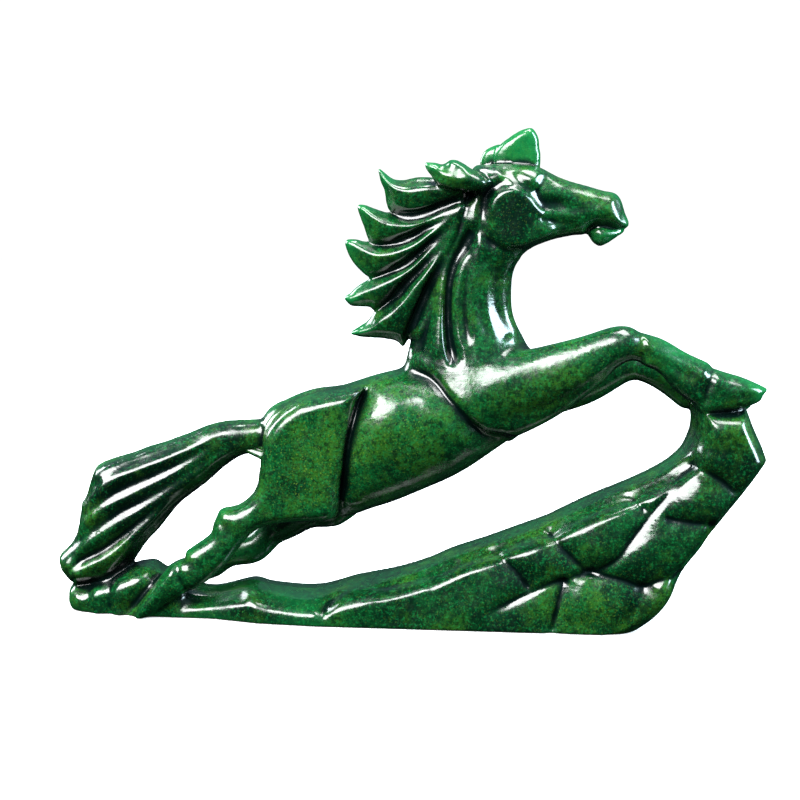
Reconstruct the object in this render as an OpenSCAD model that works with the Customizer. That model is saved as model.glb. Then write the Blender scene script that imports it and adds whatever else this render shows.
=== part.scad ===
// Galloping horse on a rising rock, carved from one block of stone.
// +X is the way the horse faces, +Z is up, and the origin lies on the underside, below the withers.
// Every node is one carved region. It ends where its neighbour begins, so regions meet and never overlap.

/* [Rock] */
// Reach of the rock behind the withers
rock_back = 118; // [105:1:135]
// Reach of the underside ahead of the withers
foot_front = 84; // [75:1:95]
// Width of the underside
foot_w = 40; // [34:1:50]
// Height of the flat foot that the rock stands on
foot_t = 3; // [2:0.5:5]
// Height of the ground between the hind legs and the ramp
ground_h = 7; // [5.5:0.5:10]
// Reach of the ledge under the fore hooves
ledge_front = 126; // [118:1:140]
// Height of the ledge under the fore hooves
ledge_h = 79; // [66:1:95]
// Thickness of the rock at the ledge
ledge_t = 40; // [32:1:48]

/* [Trunk] */
// Height of the withers
withers_h = 88; // [82:1:94]
// Height of the croup
croup_h = 81; // [75:1:88]
// Reach of the rump behind the withers
rump_back = 50; // [44:1:56]
// Depth of the chest from back to girth
chest_d = 42; // [36:1:50]
// Width of the trunk
trunk_w = 40; // [33:1:48]

/* [Neck and head] */
// Height of the forehead
poll_h = 159; // [150:1:172]
// Reach of the muzzle ahead of the withers
muzzle_front = 75; // [70:1:84]
// Front-to-back depth of the neck, halfway up
neck_d = 33; // [27:1:39]
// Width of the neck
neck_w = 25; // [20:1:30]
// Width of the head across the cheeks
head_w = 23; // [18:1:28]
// Depth of the head from brow to jaw
head_d = 28; // [24:1:33]
// Height of the upright ear above the forehead
ear_h = 14; // [10:1:18]
// Length of the laid-back ear
ear_l = 22; // [17:1:26]
// Thickness of an ear
ear_t = 6; // [4:0.5:8]

/* [Mane and tail] */
// Number of locks in the mane
locks = 5; // [5]
// Reach of the mane's tips behind the withers
mane_back = 23; // [18:1:28]
// Thickness of a lock of the mane
lock_t = 15; // [11:1:18]
// Number of strands in the tail
strands = 5; // [5]
// Reach of the tail behind the withers
tail_back = 122; // [108:1:138]
// Width of the tail at its fullest
tail_w = 24; // [19:1:30]

/* [Legs] */
// Distance between the middles of the near and far legs
leg_gap = 24; // [20:1:28]
// Height of the near knee
knee_h = 100.5; // [95:0.5:110]
// Reach of the near knee ahead of the withers
knee_front = 77; // [70:1:84]
// Drop of the far foreleg below the near one
far_drop = 10; // [7:0.5:13]
// Thickness of a foreleg below the knee
cannon_d = 11; // [9:0.5:14]
// Length of a fore hoof
hoof_l = 21; // [17:1:25]
// Width of a hoof
hoof_w = 14; // [11:0.5:17]
// Height of the near hock
hock_h = 34; // [28:0.5:40]
// Reach of the near hock behind the withers
hock_back = 57; // [50:1:64]
// Reach of the hind hooves behind the withers
hind_back = 97; // [88:1:104]
// Thickness of a hind leg below the hock
shank_d = 12; // [9:0.5:15]

/* [Hidden] */

dark = "#0d3a24";     // thick, nearly black jade
green = "#155c38";    // the body of the stone
bright = "#1f8a4e";   // thin, lit edges

sides = 18;           // corners of a rounded section
steps = 3;            // sections between one station and the next
key = 0.1;            // length of the tenon between two lengths of a loft
near = -leg_gap / 2;  // the near legs stand on the -Y side
far = leg_gap / 2;
reach = 400;          // longer than the whole stone, for cutting planes

// ---- Lofts ---------------------------------------------------------------------------------
// A station is [x, y, z, half height, half width]; a loft runs a rounded section through them.

function blend(a, b, c, d, t) =
    0.5 * (2 * b + (c - a) * t + (2 * a - 5 * b + 4 * c - d) * t * t + (3 * b - a - 3 * c + d) * t * t * t);

function curve(s) = let (n = len(s) - 1)
    concat([for (i = [0:n - 1], j = [0:steps - 1])
        blend(s[max(i - 1, 0)], s[i], s[i + 1], s[min(i + 2, n)], j / steps)], [s[n]]);

function spot(s) = [s[0], s[1], s[2]];

function heading(s, i) = let (d = spot(s[min(i + 1, len(s) - 1)]) - spot(s[max(i - 1, 0)])) d / norm(d);

function section(s, i) = let (
    t = heading(s, i),
    pitch = atan2(t.z, t.x),
    up = [-sin(pitch), 0, cos(pitch)],
    out = cross(t, up)
) [for (k = [0:sides - 1]) let (a = 360 * k / sides)
    spot(s[i]) + up * max(s[i][3], 0.3) * cos(a) + out * max(s[i][4], 0.3) * sin(a)];

module loft(stations) {
    s = curve(stations);
    chain([for (i = [0:len(s) - 1]) section(s, i)]);
}

function middle(outline) = [for (p = outline) 1] * outline / len(outline);

// A small tenon on the end of a length, which keys it into the next one
function tenon(a, b) = let (m = middle(b), way = (m - middle(a)) / norm(m - middle(a)))
    [for (p = b) m + (p - m) * 0.7 + way * key];

// Skin over a row of flat outlines
module chain(outlines) {
    last = len(outlines) - 2;
    for (i = [0:last])
        let (a = outlines[i], b = outlines[i + 1])
            hull() cloud(concat(a, b, i < last ? tenon(a, b) : []));
}

// The bare corners that a hull is drawn round
module cloud(points) {
    polyhedron(points, [[for (k = [0:len(points) - 1]) k]]);
}

// Everything on the near or the far side of the middle plane
module half(side) {
    translate([-reach / 2, side < 0 ? -reach : 0, -reach / 2])
        cube(reach);
}

// ---- Rock ----------------------------------------------------------------------------------

end_w = foot_w * 0.3;           // half width of the back end
corner = foot_w * 0.3;          // chamfer of the near front corner

// The underside: straight sides, a tapered back end and cut corners in front
function foot_outline(grow = 0) = [
    [-rock_back + foot_t - grow, -end_w * 0.6], [-rock_back + end_w, -end_w - grow],
    [-rock_back + 2 * foot_w, -foot_w / 2 - grow], [foot_front - corner, -foot_w / 2 - grow],
    [foot_front + grow, -foot_w / 2 + corner], [foot_front + grow, foot_w / 2 - corner],
    [foot_front - corner, foot_w / 2 + grow], [-rock_back + 2 * foot_w, foot_w / 2 + grow],
    [-rock_back + end_w, end_w + grow], [-rock_back + foot_t - grow, end_w * 0.6]
];

module rock_foot() {
    color(dark) linear_extrude(foot_t) polygon(foot_outline());
}

// One slice of rock: [x, bottom, top, half width]
function slice(s) = let (x = s[0], low = s[1], rise = s[2] - s[1], w = s[3]) [
    [x, -w, low], [x, -w - 1.5, low + 0.4 * rise], [x, -0.8 * w, low + 0.88 * rise], [x, -0.4 * w, s[2]],
    [x, 0.4 * w, s[2]], [x, 0.8 * w, low + 0.88 * rise], [x, w + 1.5, low + 0.4 * rise], [x, w, low]
];

module slices(list) {
    chain([for (s = list) slice(s)]);
}

split_x = -12;                  // where the level ground turns into the ramp
half_w = foot_w / 2;
ramp_foot_h = ground_h + 3;
ledge_back = ledge_front - 26;
ledge_rise = 22;                // the ramp ends this far below the ledge

ground = [
    [-rock_back, foot_t, ground_h + 1, end_w * 0.7],
    [-rock_back + 6, foot_t, ground_h + 4, end_w * 0.9],
    [-rock_back + 18, foot_t, ground_h + 5, half_w * 0.72],
    [-rock_back + 34, foot_t, ground_h + 3, half_w * 0.8],
    [-rock_back + 50, foot_t, ground_h + 1, half_w * 0.88],
    [-rock_back + 62, foot_t, ground_h + 1, half_w * 0.95],
    [-rock_back + 74, foot_t, ground_h, half_w],
    [-rock_back + 88, foot_t, ground_h, half_w],
    [split_x, foot_t, ramp_foot_h, half_w]
];

// The ramp rises in a straight line from the ground to the ledge's back edge
function ramp_top(x) =
    ramp_foot_h + (ledge_h - ledge_rise - ramp_foot_h) * (x - split_x) / (ledge_back - split_x);

ramp = [
    [split_x, foot_t, ramp_foot_h, half_w],
    [10, foot_t, ramp_top(10), half_w],
    [30, foot_t, ramp_top(30) + 1, half_w],
    [52, foot_t, ramp_top(52) + 0.5, half_w],
    [foot_front - corner, foot_t, ramp_top(foot_front - corner), half_w],
    [foot_front, foot_t, ramp_top(foot_front) + 0.5, half_w],
    [foot_front + 5, foot_t + 5, ramp_top(foot_front + 5) + 1, half_w],
    [ledge_back - 3, ledge_h - ledge_t - 18, ledge_h - ledge_rise, half_w],
    [ledge_back + 1, ledge_h - ledge_t - 13, ledge_h - 4, half_w],
    [ledge_back + 9, ledge_h - ledge_t - 2, ledge_h, half_w],
    [ledge_back + 18, ledge_h - ledge_t + 11, ledge_h, half_w * 0.95],
    [ledge_back + 23, ledge_h - ledge_t + 15, ledge_h - 5, half_w * 0.85],
    [ledge_front, ledge_h - ledge_t + 21, ledge_h - 15, half_w * 0.7]
];

module rock_ground() {
    color(dark) slices(ground);
}

module rock_ramp() {
    color(green) difference() {
        slices(ramp);
        hoof_shape(near, 0);
        hoof_shape(far, far_drop * 0.6);
    }
}

// ---- Trunk and hindquarters ----------------------------------------------------------------

trunk_r = trunk_w / 2;
chest_r = chest_d / 2;

trunk_line = [
    [-26, 0, croup_h - 22, 21, trunk_r - 2],
    [-16, 0, croup_h - 21, 22, trunk_r - 1],
    [-4, 0, withers_h - 23, chest_r + 1, trunk_r],
    [8, 0, withers_h - 18.5, chest_r, trunk_r],
    [20, 0, withers_h - 12, chest_r - 1.5, trunk_r - 0.5],
    [31, 0, withers_h - 7, chest_r - 4, trunk_r - 2],
    [41, 0, withers_h - 3, chest_r - 8, trunk_r - 6],
    [49, 0, withers_h + 0.5, chest_r - 13, trunk_r - 11]
];

haunch_line = [
    [-19, 0, croup_h - 22, 21, trunk_r - 2],
    [-28, 0, croup_h - 22.5, 22, trunk_r - 0.5],
    [-36, 0, croup_h - 23, 20.5, trunk_r - 1],
    [-rump_back + 7, 0, croup_h - 23.5, 16.5, trunk_r - 3.5],
    [-rump_back + 2, 0, croup_h - 24, 10.5, trunk_r - 8],
    [-rump_back, 0, croup_h - 24, 4, trunk_r - 14]
];

module trunk_shape() {
    loft(trunk_line);
}

module haunch_shape() {
    loft(haunch_line);
}

module trunk() {
    color(green) trunk_shape();
}

module haunch(side) {
    color(dark) intersection() {
        difference() {
            haunch_shape();
            trunk_shape();
        }
        half(side);
    }
}

// ---- Hind legs -----------------------------------------------------------------------------
// The far hind leg stands a little ahead of the near one.

far_step = 12;                  // how far ahead the far hind leg stands
root_in = 2.5;                  // each length of leg starts this far inside the one above
far_hock_drop = 6;

function hock(side) = side < 0
    ? [-hock_back, side, hock_h]
    : [-hock_back + far_step - 3, side, hock_h - far_hock_drop];
function hind_toe(side) = [-hind_back + (side < 0 ? 0 : far_step), side, ground_h + 1.5];

function thigh_line(side) = let (k = hock(side)) [
    [-25, side * 0.65, croup_h - 27, 11, trunk_r - 13.5],
    [k.x + 22, side * 0.85, (croup_h - 36 + k.z) / 2 + 6, 13.5, trunk_r - 12.5],
    [k.x + 12, side, (croup_h - 40 + k.z) / 2 + 2.5, shank_d / 2 + 4, shank_d / 2 + 2.5],
    [k.x + 5, side, k.z + 2.5, shank_d / 2 + 1.5, shank_d / 2 + 0.5],
    [k.x, side, k.z, shank_d / 2 + 0.5, shank_d / 2]
];

function shank_line(side) = let (k = hock(side), t = hind_toe(side)) [
    [k.x + root_in, side, k.z + 1, shank_d / 2 - 1, shank_d / 2 - 1.2],
    [k.x - 5, side, k.z - 8, shank_d / 2 - 0.5, shank_d / 2 - 1],
    [(k.x + t.x) / 2 + 4, side, (k.z + t.z) / 2, shank_d / 2 - 0.5, shank_d / 2 - 1],
    [(k.x + t.x) / 2 - 3, side, t.z + 5, shank_d / 2 + 0.5, shank_d / 2]
];

function hind_hoof_line(side) = let (k = hock(side), t = hind_toe(side)) [
    [(k.x + t.x) / 2 - 3 + root_in, side, t.z + 6.5, shank_d / 2 - 1, shank_d / 2 - 1.2],
    [t.x + 13, side, t.z + 3.5, shank_d / 2 - 0.5, hoof_w / 2],
    [t.x + 6, side, t.z + 1.5, shank_d / 2 - 0.5, hoof_w / 2 + 1],
    [t.x, side, t.z, shank_d / 2 - 2.5, hoof_w / 2 - 1]
];

module thigh(side) {
    color(green) difference() {
        loft(thigh_line(side));
        haunch_shape();
        trunk_shape();
    }
}

module shank(side) {
    color(green) difference() {
        loft(shank_line(side));
        loft(thigh_line(side));
        slices(ground);
    }
}

module hind_hoof(side) {
    color(dark) difference() {
        loft(hind_hoof_line(side));
        loft(shank_line(side));
        slices(ground);
        rock_foot();
    }
}

// ---- Forelegs ------------------------------------------------------------------------------

function drop(side) = side < 0 ? 0 : far_drop;
function knee(side) = [knee_front + (side < 0 ? 0 : 4), side, knee_h - drop(side)];
function fetlock(side) = [ledge_front - hoof_l - 3, side, ledge_h + 10 - drop(side) * 0.9];

function forearm_line(side) = let (k = knee(side)) [
    [30, side * 0.75, withers_h - 8 - drop(side) / 2, chest_r - 5, trunk_r - 10],
    [44, side * 0.9, withers_h - 3 - drop(side) / 2, cannon_d + 2.5 - drop(side) / 4, cannon_d - 2],
    [(44 + k.x) / 2, side, (withers_h - 2 + k.z - drop(side) / 2) / 2, cannon_d - 1, cannon_d - 3],
    [k.x - 5, side, k.z, cannon_d / 2 + 1.2, cannon_d / 2 + 1],
    [k.x, side, k.z + 0.3, cannon_d / 2 + 0.2, cannon_d / 2 + 0.5]
];

function cannon_line(side) = let (k = knee(side), f = fetlock(side)) [
    [k.x - root_in, side, k.z + 0.3, cannon_d / 2 - 1, cannon_d / 2 - 0.7],
    [k.x + 7, side, k.z - 2, cannon_d / 2, cannon_d / 2],
    [(k.x + 7 + f.x) / 2, side, (k.z - 2 + f.z) / 2, cannon_d / 2, cannon_d / 2 - 0.5],
    [f.x, side, f.z, cannon_d / 2 + 1, cannon_d / 2 + 0.5]
];

module forearm(side) {
    color(green) difference() {
        loft(forearm_line(side));
        trunk_shape();
        neck_shape();
        half(-side);
    }
}

module cannon(side) {
    color(green) difference() {
        loft(cannon_line(side));
        loft(forearm_line(side));
        slices(ramp);
    }
}

// A fore hoof, lowered into the ledge by the given depth
module hoof_shape(side, sunk) {
    f = fetlock(side);
    top = ledge_h - sunk;
    loft([
        [f.x - root_in, side, f.z + 0.6, cannon_d / 2 - 0.5, cannon_d / 2 - 1],
        [f.x + hoof_l * 0.35, side, top + 7, 6, hoof_w / 2],
        [f.x + hoof_l * 0.7, side, top + 6, 5, hoof_w / 2 + 0.5],
        [f.x + hoof_l, side, top + 6, 2.2, hoof_w / 2 - 1.5]
    ]);
}

module fore_hoof(side) {
    color(dark) difference() {
        hoof_shape(side, side < 0 ? 0 : far_drop * 0.6);
        loft(cannon_line(side));
    }
}

// ---- Neck and head -------------------------------------------------------------------------

neck_r = neck_d / 2;
neck_y = neck_w / 2;
poll = [28, poll_h - 11];
rise = poll.y - withers_h;      // from the withers to the middle of the poll
head_l = muzzle_front - poll.x;

module neck_shape() {
    loft([
        [22, 0, withers_h - 4, neck_r + 8, trunk_r - 2],
        [20.5, 0, withers_h + rise * 0.12, neck_r + 5, trunk_r - 5],
        [19.5, 0, withers_h + rise * 0.32, neck_r + 0.5, neck_y],
        [20, 0, withers_h + rise * 0.52, neck_r - 1, neck_y - 0.5],
        [22.5, 0, withers_h + rise * 0.72, neck_r - 2.5, neck_y - 1],
        [26, 0, withers_h + rise * 0.9, neck_r - 5, neck_y - 2],
        [29, 0, withers_h + rise, neck_r - 8, neck_y - 4]
    ]);
}

module head_shape() {
    loft([
        [poll.x - 5, 0, poll.y - 0.5, head_d / 2 - 6, head_w / 2 - 4],
        [poll.x + 1, 0, poll.y - 1, head_d / 2 - 1.5, head_w / 2 - 1],
        [poll.x + head_l * 0.2, 0, poll.y - 2.5, head_d / 2 + 0.5, head_w / 2],
        [poll.x + head_l * 0.38, 0, poll.y - 1.5, head_d / 2 - 3, head_w / 2 - 1.5],
        [poll.x + head_l * 0.56, 0, poll.y - 2.5, head_d / 2 - 4.7, head_w / 2 - 3],
        [poll.x + head_l * 0.74, 0, poll.y - 3.5, head_d / 2 - 5.6, head_w / 2 - 4],
        [poll.x + head_l * 0.9, 0, poll.y - 4.5, head_d / 2 - 6.2, head_w / 2 - 4.5],
        [muzzle_front, 0, poll.y - 6, head_d / 2 - 10, head_w / 2 - 7]
    ]);
}

module neck() {
    color(green) difference() {
        neck_shape();
        trunk_shape();
        head_shape();
    }
}

module head() {
    color(green) head_shape();
}

module lower_lip() {
    color(dark) difference() {
        loft([
            [poll.x + head_l * 0.66, 0, poll.y - 10.5, 2.2, head_w / 2 - 6.5],
            [poll.x + head_l * 0.76, 0, poll.y - 12, 3.4, head_w / 2 - 6],
            [poll.x + head_l * 0.88, 0, poll.y - 11.3, 3.2, head_w / 2 - 6],
            [muzzle_front - 2, 0, poll.y - 9.5, 1.6, head_w / 2 - 7.5]
        ]);
        head_shape();
    }
}

ear_y = head_w / 4;

// The near ear is laid back and the far ear stands up
module near_ear() {
    color(bright) difference() {
        loft([
            [poll.x - 2, -ear_y, poll_h - 5.5, 5, ear_t / 2 + 0.5],
            [poll.x - ear_l * 0.4, -ear_y, poll_h - 3, 5, ear_t / 2 + 0.3],
            [poll.x - ear_l * 0.75, -ear_y, poll_h - 0.5, 4, ear_t / 2],
            [poll.x - ear_l - 2.5, -ear_y, poll_h + 1.5, 0.8, 0.8]
        ]);
        head_shape();
        neck_shape();
        lock_shape(1);
    }
}

module far_ear() {
    color(bright) difference() {
        loft([
            [poll.x + 6, ear_y, poll_h - 3, 8, ear_t / 2 + 0.4],
            [poll.x + 7.5, ear_y, poll_h + ear_h * 0.3, 8.5, ear_t / 2 + 0.2],
            [poll.x + 11, ear_y, poll_h + ear_h * 0.7, 5, ear_t / 2 - 0.3],
            [poll.x + 13.5, ear_y, poll_h + ear_h, 0.8, 0.8]
        ]);
        head_shape();
    }
}

// ---- Mane ----------------------------------------------------------------------------------
// Each lock leaves the crest of the neck, sweeps back and turns up to a tip.
// A lock is [height of its root, height of its tip, dip before the tip, length behind the crest,
// reach of its root into the neck]; the heights are for a neck that rises 60 above the withers.

lock_r = lock_t / 2;
lock_plan = [
    [62, 70, 8.5, mane_back - 10, 26],
    [54, 57, 8.5, mane_back - 3, 21],
    [47, 45, 7.5, mane_back, 16],
    [36, 26, 2, mane_back, 14],
    [24, 12.5, 0.5, mane_back - 2, 14]
];

module lock_shape(i) {
    plan = lock_plan[i - 1];
    root = withers_h + plan[0] * rise / 60;
    tip = withers_h + plan[1] * rise / 60;
    low = tip - plan[2];
    loft([
        [plan[4], 0, root, 6, lock_r - 1],
        [6, 0, root * 0.6 + low * 0.4, 6.2, lock_r],
        [-plan[3] * 0.2, 0, root * 0.25 + low * 0.75, 5.4, lock_r - 0.5],
        [-plan[3] * 0.52, 0, low, 4.3, lock_r - 1.5],
        [-plan[3] * 0.82, 0, low * 0.75 + tip * 0.25, 2.4, lock_r - 3.5],
        [-plan[3], 0, tip, 0.6, 1]
    ]);
}

module mane_lock(i) {
    color(bright) difference() {
        lock_shape(i);
        neck_shape();
        head_shape();
        trunk_shape();
        for (j = [i + 1:1:locks])
            lock_shape(j);
    }
}

// ---- Tail ----------------------------------------------------------------------------------
// The strands leave one root on the rump and fan out as they fall.
// A strand is [drop at its start, height and reach of its tip, how late it falls].

tail_root = [-rump_back + 3, croup_h - 18];
tail_plan = [
    [0, 47, tail_back - 9, 2],
    [1, 36, tail_back - 7, 1.75],
    [2, 25, tail_back - 3, 1.55],
    [3, 15, tail_back, 1.4],
    [4, 9, tail_back - 5, 1.25]
];

module strand_shape(i) {
    plan = tail_plan[i - 1];
    run = plan[2] + tail_root.x;
    fall = tail_root.y - plan[0] - plan[1];
    function along(t, h, w) = [
        tail_root.x - run * t, 0, tail_root.y - plan[0] - fall * pow(t, plan[3]), h, w
    ];
    loft([
        along(0, 4.5, tail_w / 2 - 4),
        along(0.2, 4.8, tail_w / 2 - 2.5),
        along(0.42, 5.2, tail_w / 2 - 0.5),
        along(0.64, 5.4, tail_w / 2),
        along(0.86, 4.8, tail_w / 2 - 2),
        along(1, 2.2, tail_w / 2 - 6)
    ]);
}

module tail_strand(i) {
    color(i % 2 == 0 ? green : bright) difference() {
        strand_shape(i);
        haunch_shape();
        slices(ground);
        rock_foot();
        for (j = [i + 1:1:strands])
            strand_shape(j);
    }
}

// ---- The stone -----------------------------------------------------------------------------

rock_foot();
rock_ground();
rock_ramp();
trunk();
haunch(near);  // near_haunch
haunch(far);  // far_haunch
thigh(near);  // near_thigh
thigh(far);  // far_thigh
shank(near);  // near_shank
shank(far);  // far_shank
hind_hoof(near);  // near_hind_hoof
hind_hoof(far);  // far_hind_hoof
forearm(near);  // near_forearm
forearm(far);  // far_forearm
cannon(near);  // near_cannon
cannon(far);  // far_cannon
fore_hoof(near);  // near_fore_hoof
fore_hoof(far);  // far_fore_hoof
neck();
head();
lower_lip();
near_ear();
far_ear();
for (i = [1:locks]) mane_lock(i);
for (i = [1:strands]) tail_strand(i);
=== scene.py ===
import itertools
import math

import bpy
import numpy as np
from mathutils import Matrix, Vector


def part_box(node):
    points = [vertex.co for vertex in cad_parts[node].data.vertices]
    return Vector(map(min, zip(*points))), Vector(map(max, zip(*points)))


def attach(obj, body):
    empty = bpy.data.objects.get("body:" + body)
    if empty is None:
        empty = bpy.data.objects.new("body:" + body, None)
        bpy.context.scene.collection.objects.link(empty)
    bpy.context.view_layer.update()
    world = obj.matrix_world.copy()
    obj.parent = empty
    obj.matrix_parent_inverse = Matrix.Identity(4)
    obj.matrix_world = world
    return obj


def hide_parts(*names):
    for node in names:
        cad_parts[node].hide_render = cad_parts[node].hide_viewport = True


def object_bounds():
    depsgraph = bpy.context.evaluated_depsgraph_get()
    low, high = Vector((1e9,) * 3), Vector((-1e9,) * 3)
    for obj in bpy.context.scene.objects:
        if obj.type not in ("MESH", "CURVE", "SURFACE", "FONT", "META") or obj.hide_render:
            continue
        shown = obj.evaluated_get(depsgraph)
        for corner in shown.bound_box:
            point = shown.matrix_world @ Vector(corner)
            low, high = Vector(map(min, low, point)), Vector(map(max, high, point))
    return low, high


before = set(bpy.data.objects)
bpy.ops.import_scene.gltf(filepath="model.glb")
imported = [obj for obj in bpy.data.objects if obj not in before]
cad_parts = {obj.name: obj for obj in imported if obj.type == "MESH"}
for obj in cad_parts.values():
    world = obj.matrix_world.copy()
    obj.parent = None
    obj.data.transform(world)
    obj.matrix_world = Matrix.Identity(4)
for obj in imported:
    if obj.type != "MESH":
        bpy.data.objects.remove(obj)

import openvdb as vdb
from bpy.props import FloatProperty, FloatVectorProperty, PointerProperty
from mathutils import Matrix, Vector

bl_info = {
    "name": "Carved Jade Horse",
    "version": (1, 0, 0),
    "blender": (4, 5, 0),
    "location": "View3D > Sidebar > Jade Horse",
    "description": "Carves a galloping jade horse on its rock, region by region, and lights it",
    "category": "Object",
}

MM = 0.001
CAD_BOX = [list(corner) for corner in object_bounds()]
NODES = sorted(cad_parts)
MANE = [n for n in NODES if n.startswith("mane_lock")]
TAIL = [n for n in NODES if n.startswith("tail_strand")]
EARS = ["near_ear", "far_ear"]
HIND = ["near_haunch", "near_thigh", "near_shank", "near_hind_hoof"]
ROCK_NODES = ["rock_foot", "rock_ground", "rock_ramp"]
CARVED_FRESH = MANE + TAIL + EARS + HIND + ROCK_NODES + ["lower_lip", "head"]
NEAR, BOTH = "near", "both"


# ---- Sizes and colours that a user can change ----------------------------------------------------

def length(name, description, default, high=0.05):
    """A length in metres."""
    return FloatProperty(name=name, description=description, default=default, min=0.0, max=high,
                         subtype="DISTANCE", unit="LENGTH", precision=5)


def tint(name, description, default):
    """A colour."""
    return FloatVectorProperty(name=name, description=description, default=default, size=3,
                               min=0.0, max=1.0, subtype="COLOR")


def share(name, description, default, high=1.0):
    """A plain number."""
    return FloatProperty(name=name, description=description, default=default, min=0.0, max=high,
                         subtype="FACTOR")


class BlockSizes(bpy.types.PropertyGroup):
    """The rough block."""
    grain: length("Grain", "Spacing of the grid that the stone is carved on", 0.0006, 0.003)
    rough_grain: length("Quick grain", "Spacing of that grid while a quick look is taken", 0.0009, 0.003)
    rubbing: length("Rubbing", "How far the facets of the rough block are rubbed down", 0.0015, 0.01)
    polish: length("Polish", "How far the finished carving is rubbed down", 0.0004, 0.003)


class RockSizes(bpy.types.PropertyGroup):
    """The rock."""
    half_width: length("Half width", "From the middle of the rock to its side", 0.0212)
    shoulder: length("Shoulder", "Width of the rock's rounded rim", 0.0065)
    plate_depth: length("Plate depth", "Depth of the cuts between the plates", 0.0015, 0.006)
    plate_slope: length("Plate slope", "How far the plates lean in towards the cuts", 0.0012, 0.006)


class TrunkSizes(bpy.types.PropertyGroup):
    """The trunk."""
    crease_depth: length("Crease depth", "Depth of the creases at the flank and the shoulder", 0.0024,
                         0.006)
    muscle: length("Muscle", "Height of the swellings on barrel and shoulder", 0.0013, 0.006)


class LegSizes(bpy.types.PropertyGroup):
    """The four legs."""
    haunch_half: length("Haunch half width", "Half the width of the near haunch", 0.0104)
    hoof_half: length("Hind hoof half width", "Half the width of the near hind hoof", 0.0064)
    fore_hoof_half: length("Fore hoof half width", "Half the width of the near fore hoof", 0.0072)
    sinew_depth: length("Sinew depth", "Depth of the cuts at fetlocks and hoof edges", 0.0016, 0.006)


class NeckSizes(bpy.types.PropertyGroup):
    """The neck."""
    strand_depth: length("Strand depth", "Depth of the long cuts down the neck", 0.0042, 0.008)


class HeadSizes(bpy.types.PropertyGroup):
    """The head."""
    brow_half: length("Brow half width", "Half the width of the head at the brow", 0.0104)
    cheek_half: length("Cheek half width", "From the middle of the head to the flat of the cheek", 0.0122)
    line_depth: length("Line depth", "Depth of the lines at cheek, brow, nose and mouth", 0.0018, 0.006)


class EarSizes(bpy.types.PropertyGroup):
    """The ears."""
    near_half: length("Near ear half width", "Half the thickness of the near ear", 0.0065)
    far_half: length("Far ear half width", "Half the thickness of the far ear", 0.0036)
    hollow: length("Hollow", "How deep the ears are hollowed", 0.0016, 0.004)


class ManeSizes(bpy.types.PropertyGroup):
    """The mane."""
    tip_half: length("Tip half width", "Half the thickness of the locks at their tips", 0.0026)
    root_half: length("Root half width", "Half the thickness of the mane at its root", 0.0100)
    lock_depth: length("Lock depth", "Depth of the cuts between the locks", 0.0040, 0.008)


class TailSizes(bpy.types.PropertyGroup):
    """The tail."""
    half_width: length("Half width", "Half the width of the tail where it is widest", 0.0120)
    strand_depth: length("Strand depth", "Depth of the cuts between the strands", 0.0046, 0.008)


class StoneLook(bpy.types.PropertyGroup):
    """The polished stone."""
    dark: tint("Dark", "The darkest green in the stone", (0.0005, 0.008, 0.0035))
    body: tint("Body", "The green that most of the stone has", (0.0024, 0.048, 0.0100))
    warm: tint("Warm", "The yellower green of its drifts", (0.0200, 0.085, 0.0070))
    # Bright is the stone's own fleck green and also the painted glow of its thin places.
    bright: tint("Bright", "The green of its flecks and thin places", (0.0050, 0.170, 0.040))
    # Painted shade: the dark green that the material paints into the bottom of cuts and hollows.
    cut_shade: tint("Crease", "The shade in the bottom of the cuts", (0.0004, 0.0035, 0.0030))
    smooth: share("Smooth", "Roughness where the polish is best", 0.13)
    worn: share("Worn", "Roughness added where the polish is worn", 0.17)


class StageSizes(bpy.types.PropertyGroup):
    """Floor, lights and camera."""
    rise: FloatProperty(name="Rise", description="Angle of the camera above the floor",
                        default=math.radians(8.0), subtype="ANGLE", unit="ROTATION")
    roll: FloatProperty(name="Roll", description="Turn of the camera about its own line of sight",
                        default=math.radians(1.73), subtype="ANGLE", unit="ROTATION")
    reach: length("Reach", "Distance from the camera to the stone", 0.760, 5.0)
    lens: FloatProperty(name="Lens", description="Focal length of the camera in millimetres",
                        default=97.5, min=20.0, max=300.0)
    aim: FloatVectorProperty(name="Aim", description="The point that the camera looks at",
                             default=(-0.00245, 0.0, 0.0772), size=3, subtype="TRANSLATION",
                             unit="LENGTH")
    floor_radius: length("Floor radius", "Radius of the round floor", 1.6, 5.0)
    floor_tint: tint("Floor colour", "Colour of the floor", (0.86, 0.86, 0.86))
    key_power: FloatProperty(name="Key power", description="Strength of the large soft light",
                             default=52.0, min=0.0, max=500.0, unit="POWER")


GROUPS = {
    "block": BlockSizes, "rock": RockSizes, "trunk": TrunkSizes, "legs": LegSizes,
    "neck": NeckSizes, "head": HeadSizes, "ears": EarSizes, "mane": ManeSizes,
    "tail": TailSizes, "look": StoneLook, "stage": StageSizes}


class JadeHorseSettings(bpy.types.PropertyGroup):
    """Everything that can be set, group by group."""
    __annotations__ = {key: PointerProperty(type=kind) for key, kind in GROUPS.items()}


def mm(value):
    """A length in metres as mm, which the carving is measured in."""
    return value / MM


def span(node):
    """A region's lowest and highest corner in mm."""
    low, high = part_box(node)
    return np.array(low) / MM, np.array(high) / MM


# ---- The block -----------------------------------------------------------------------------------
# The stone is carved as a field of distances to its surface, in mm, with one value per grid point.

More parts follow.
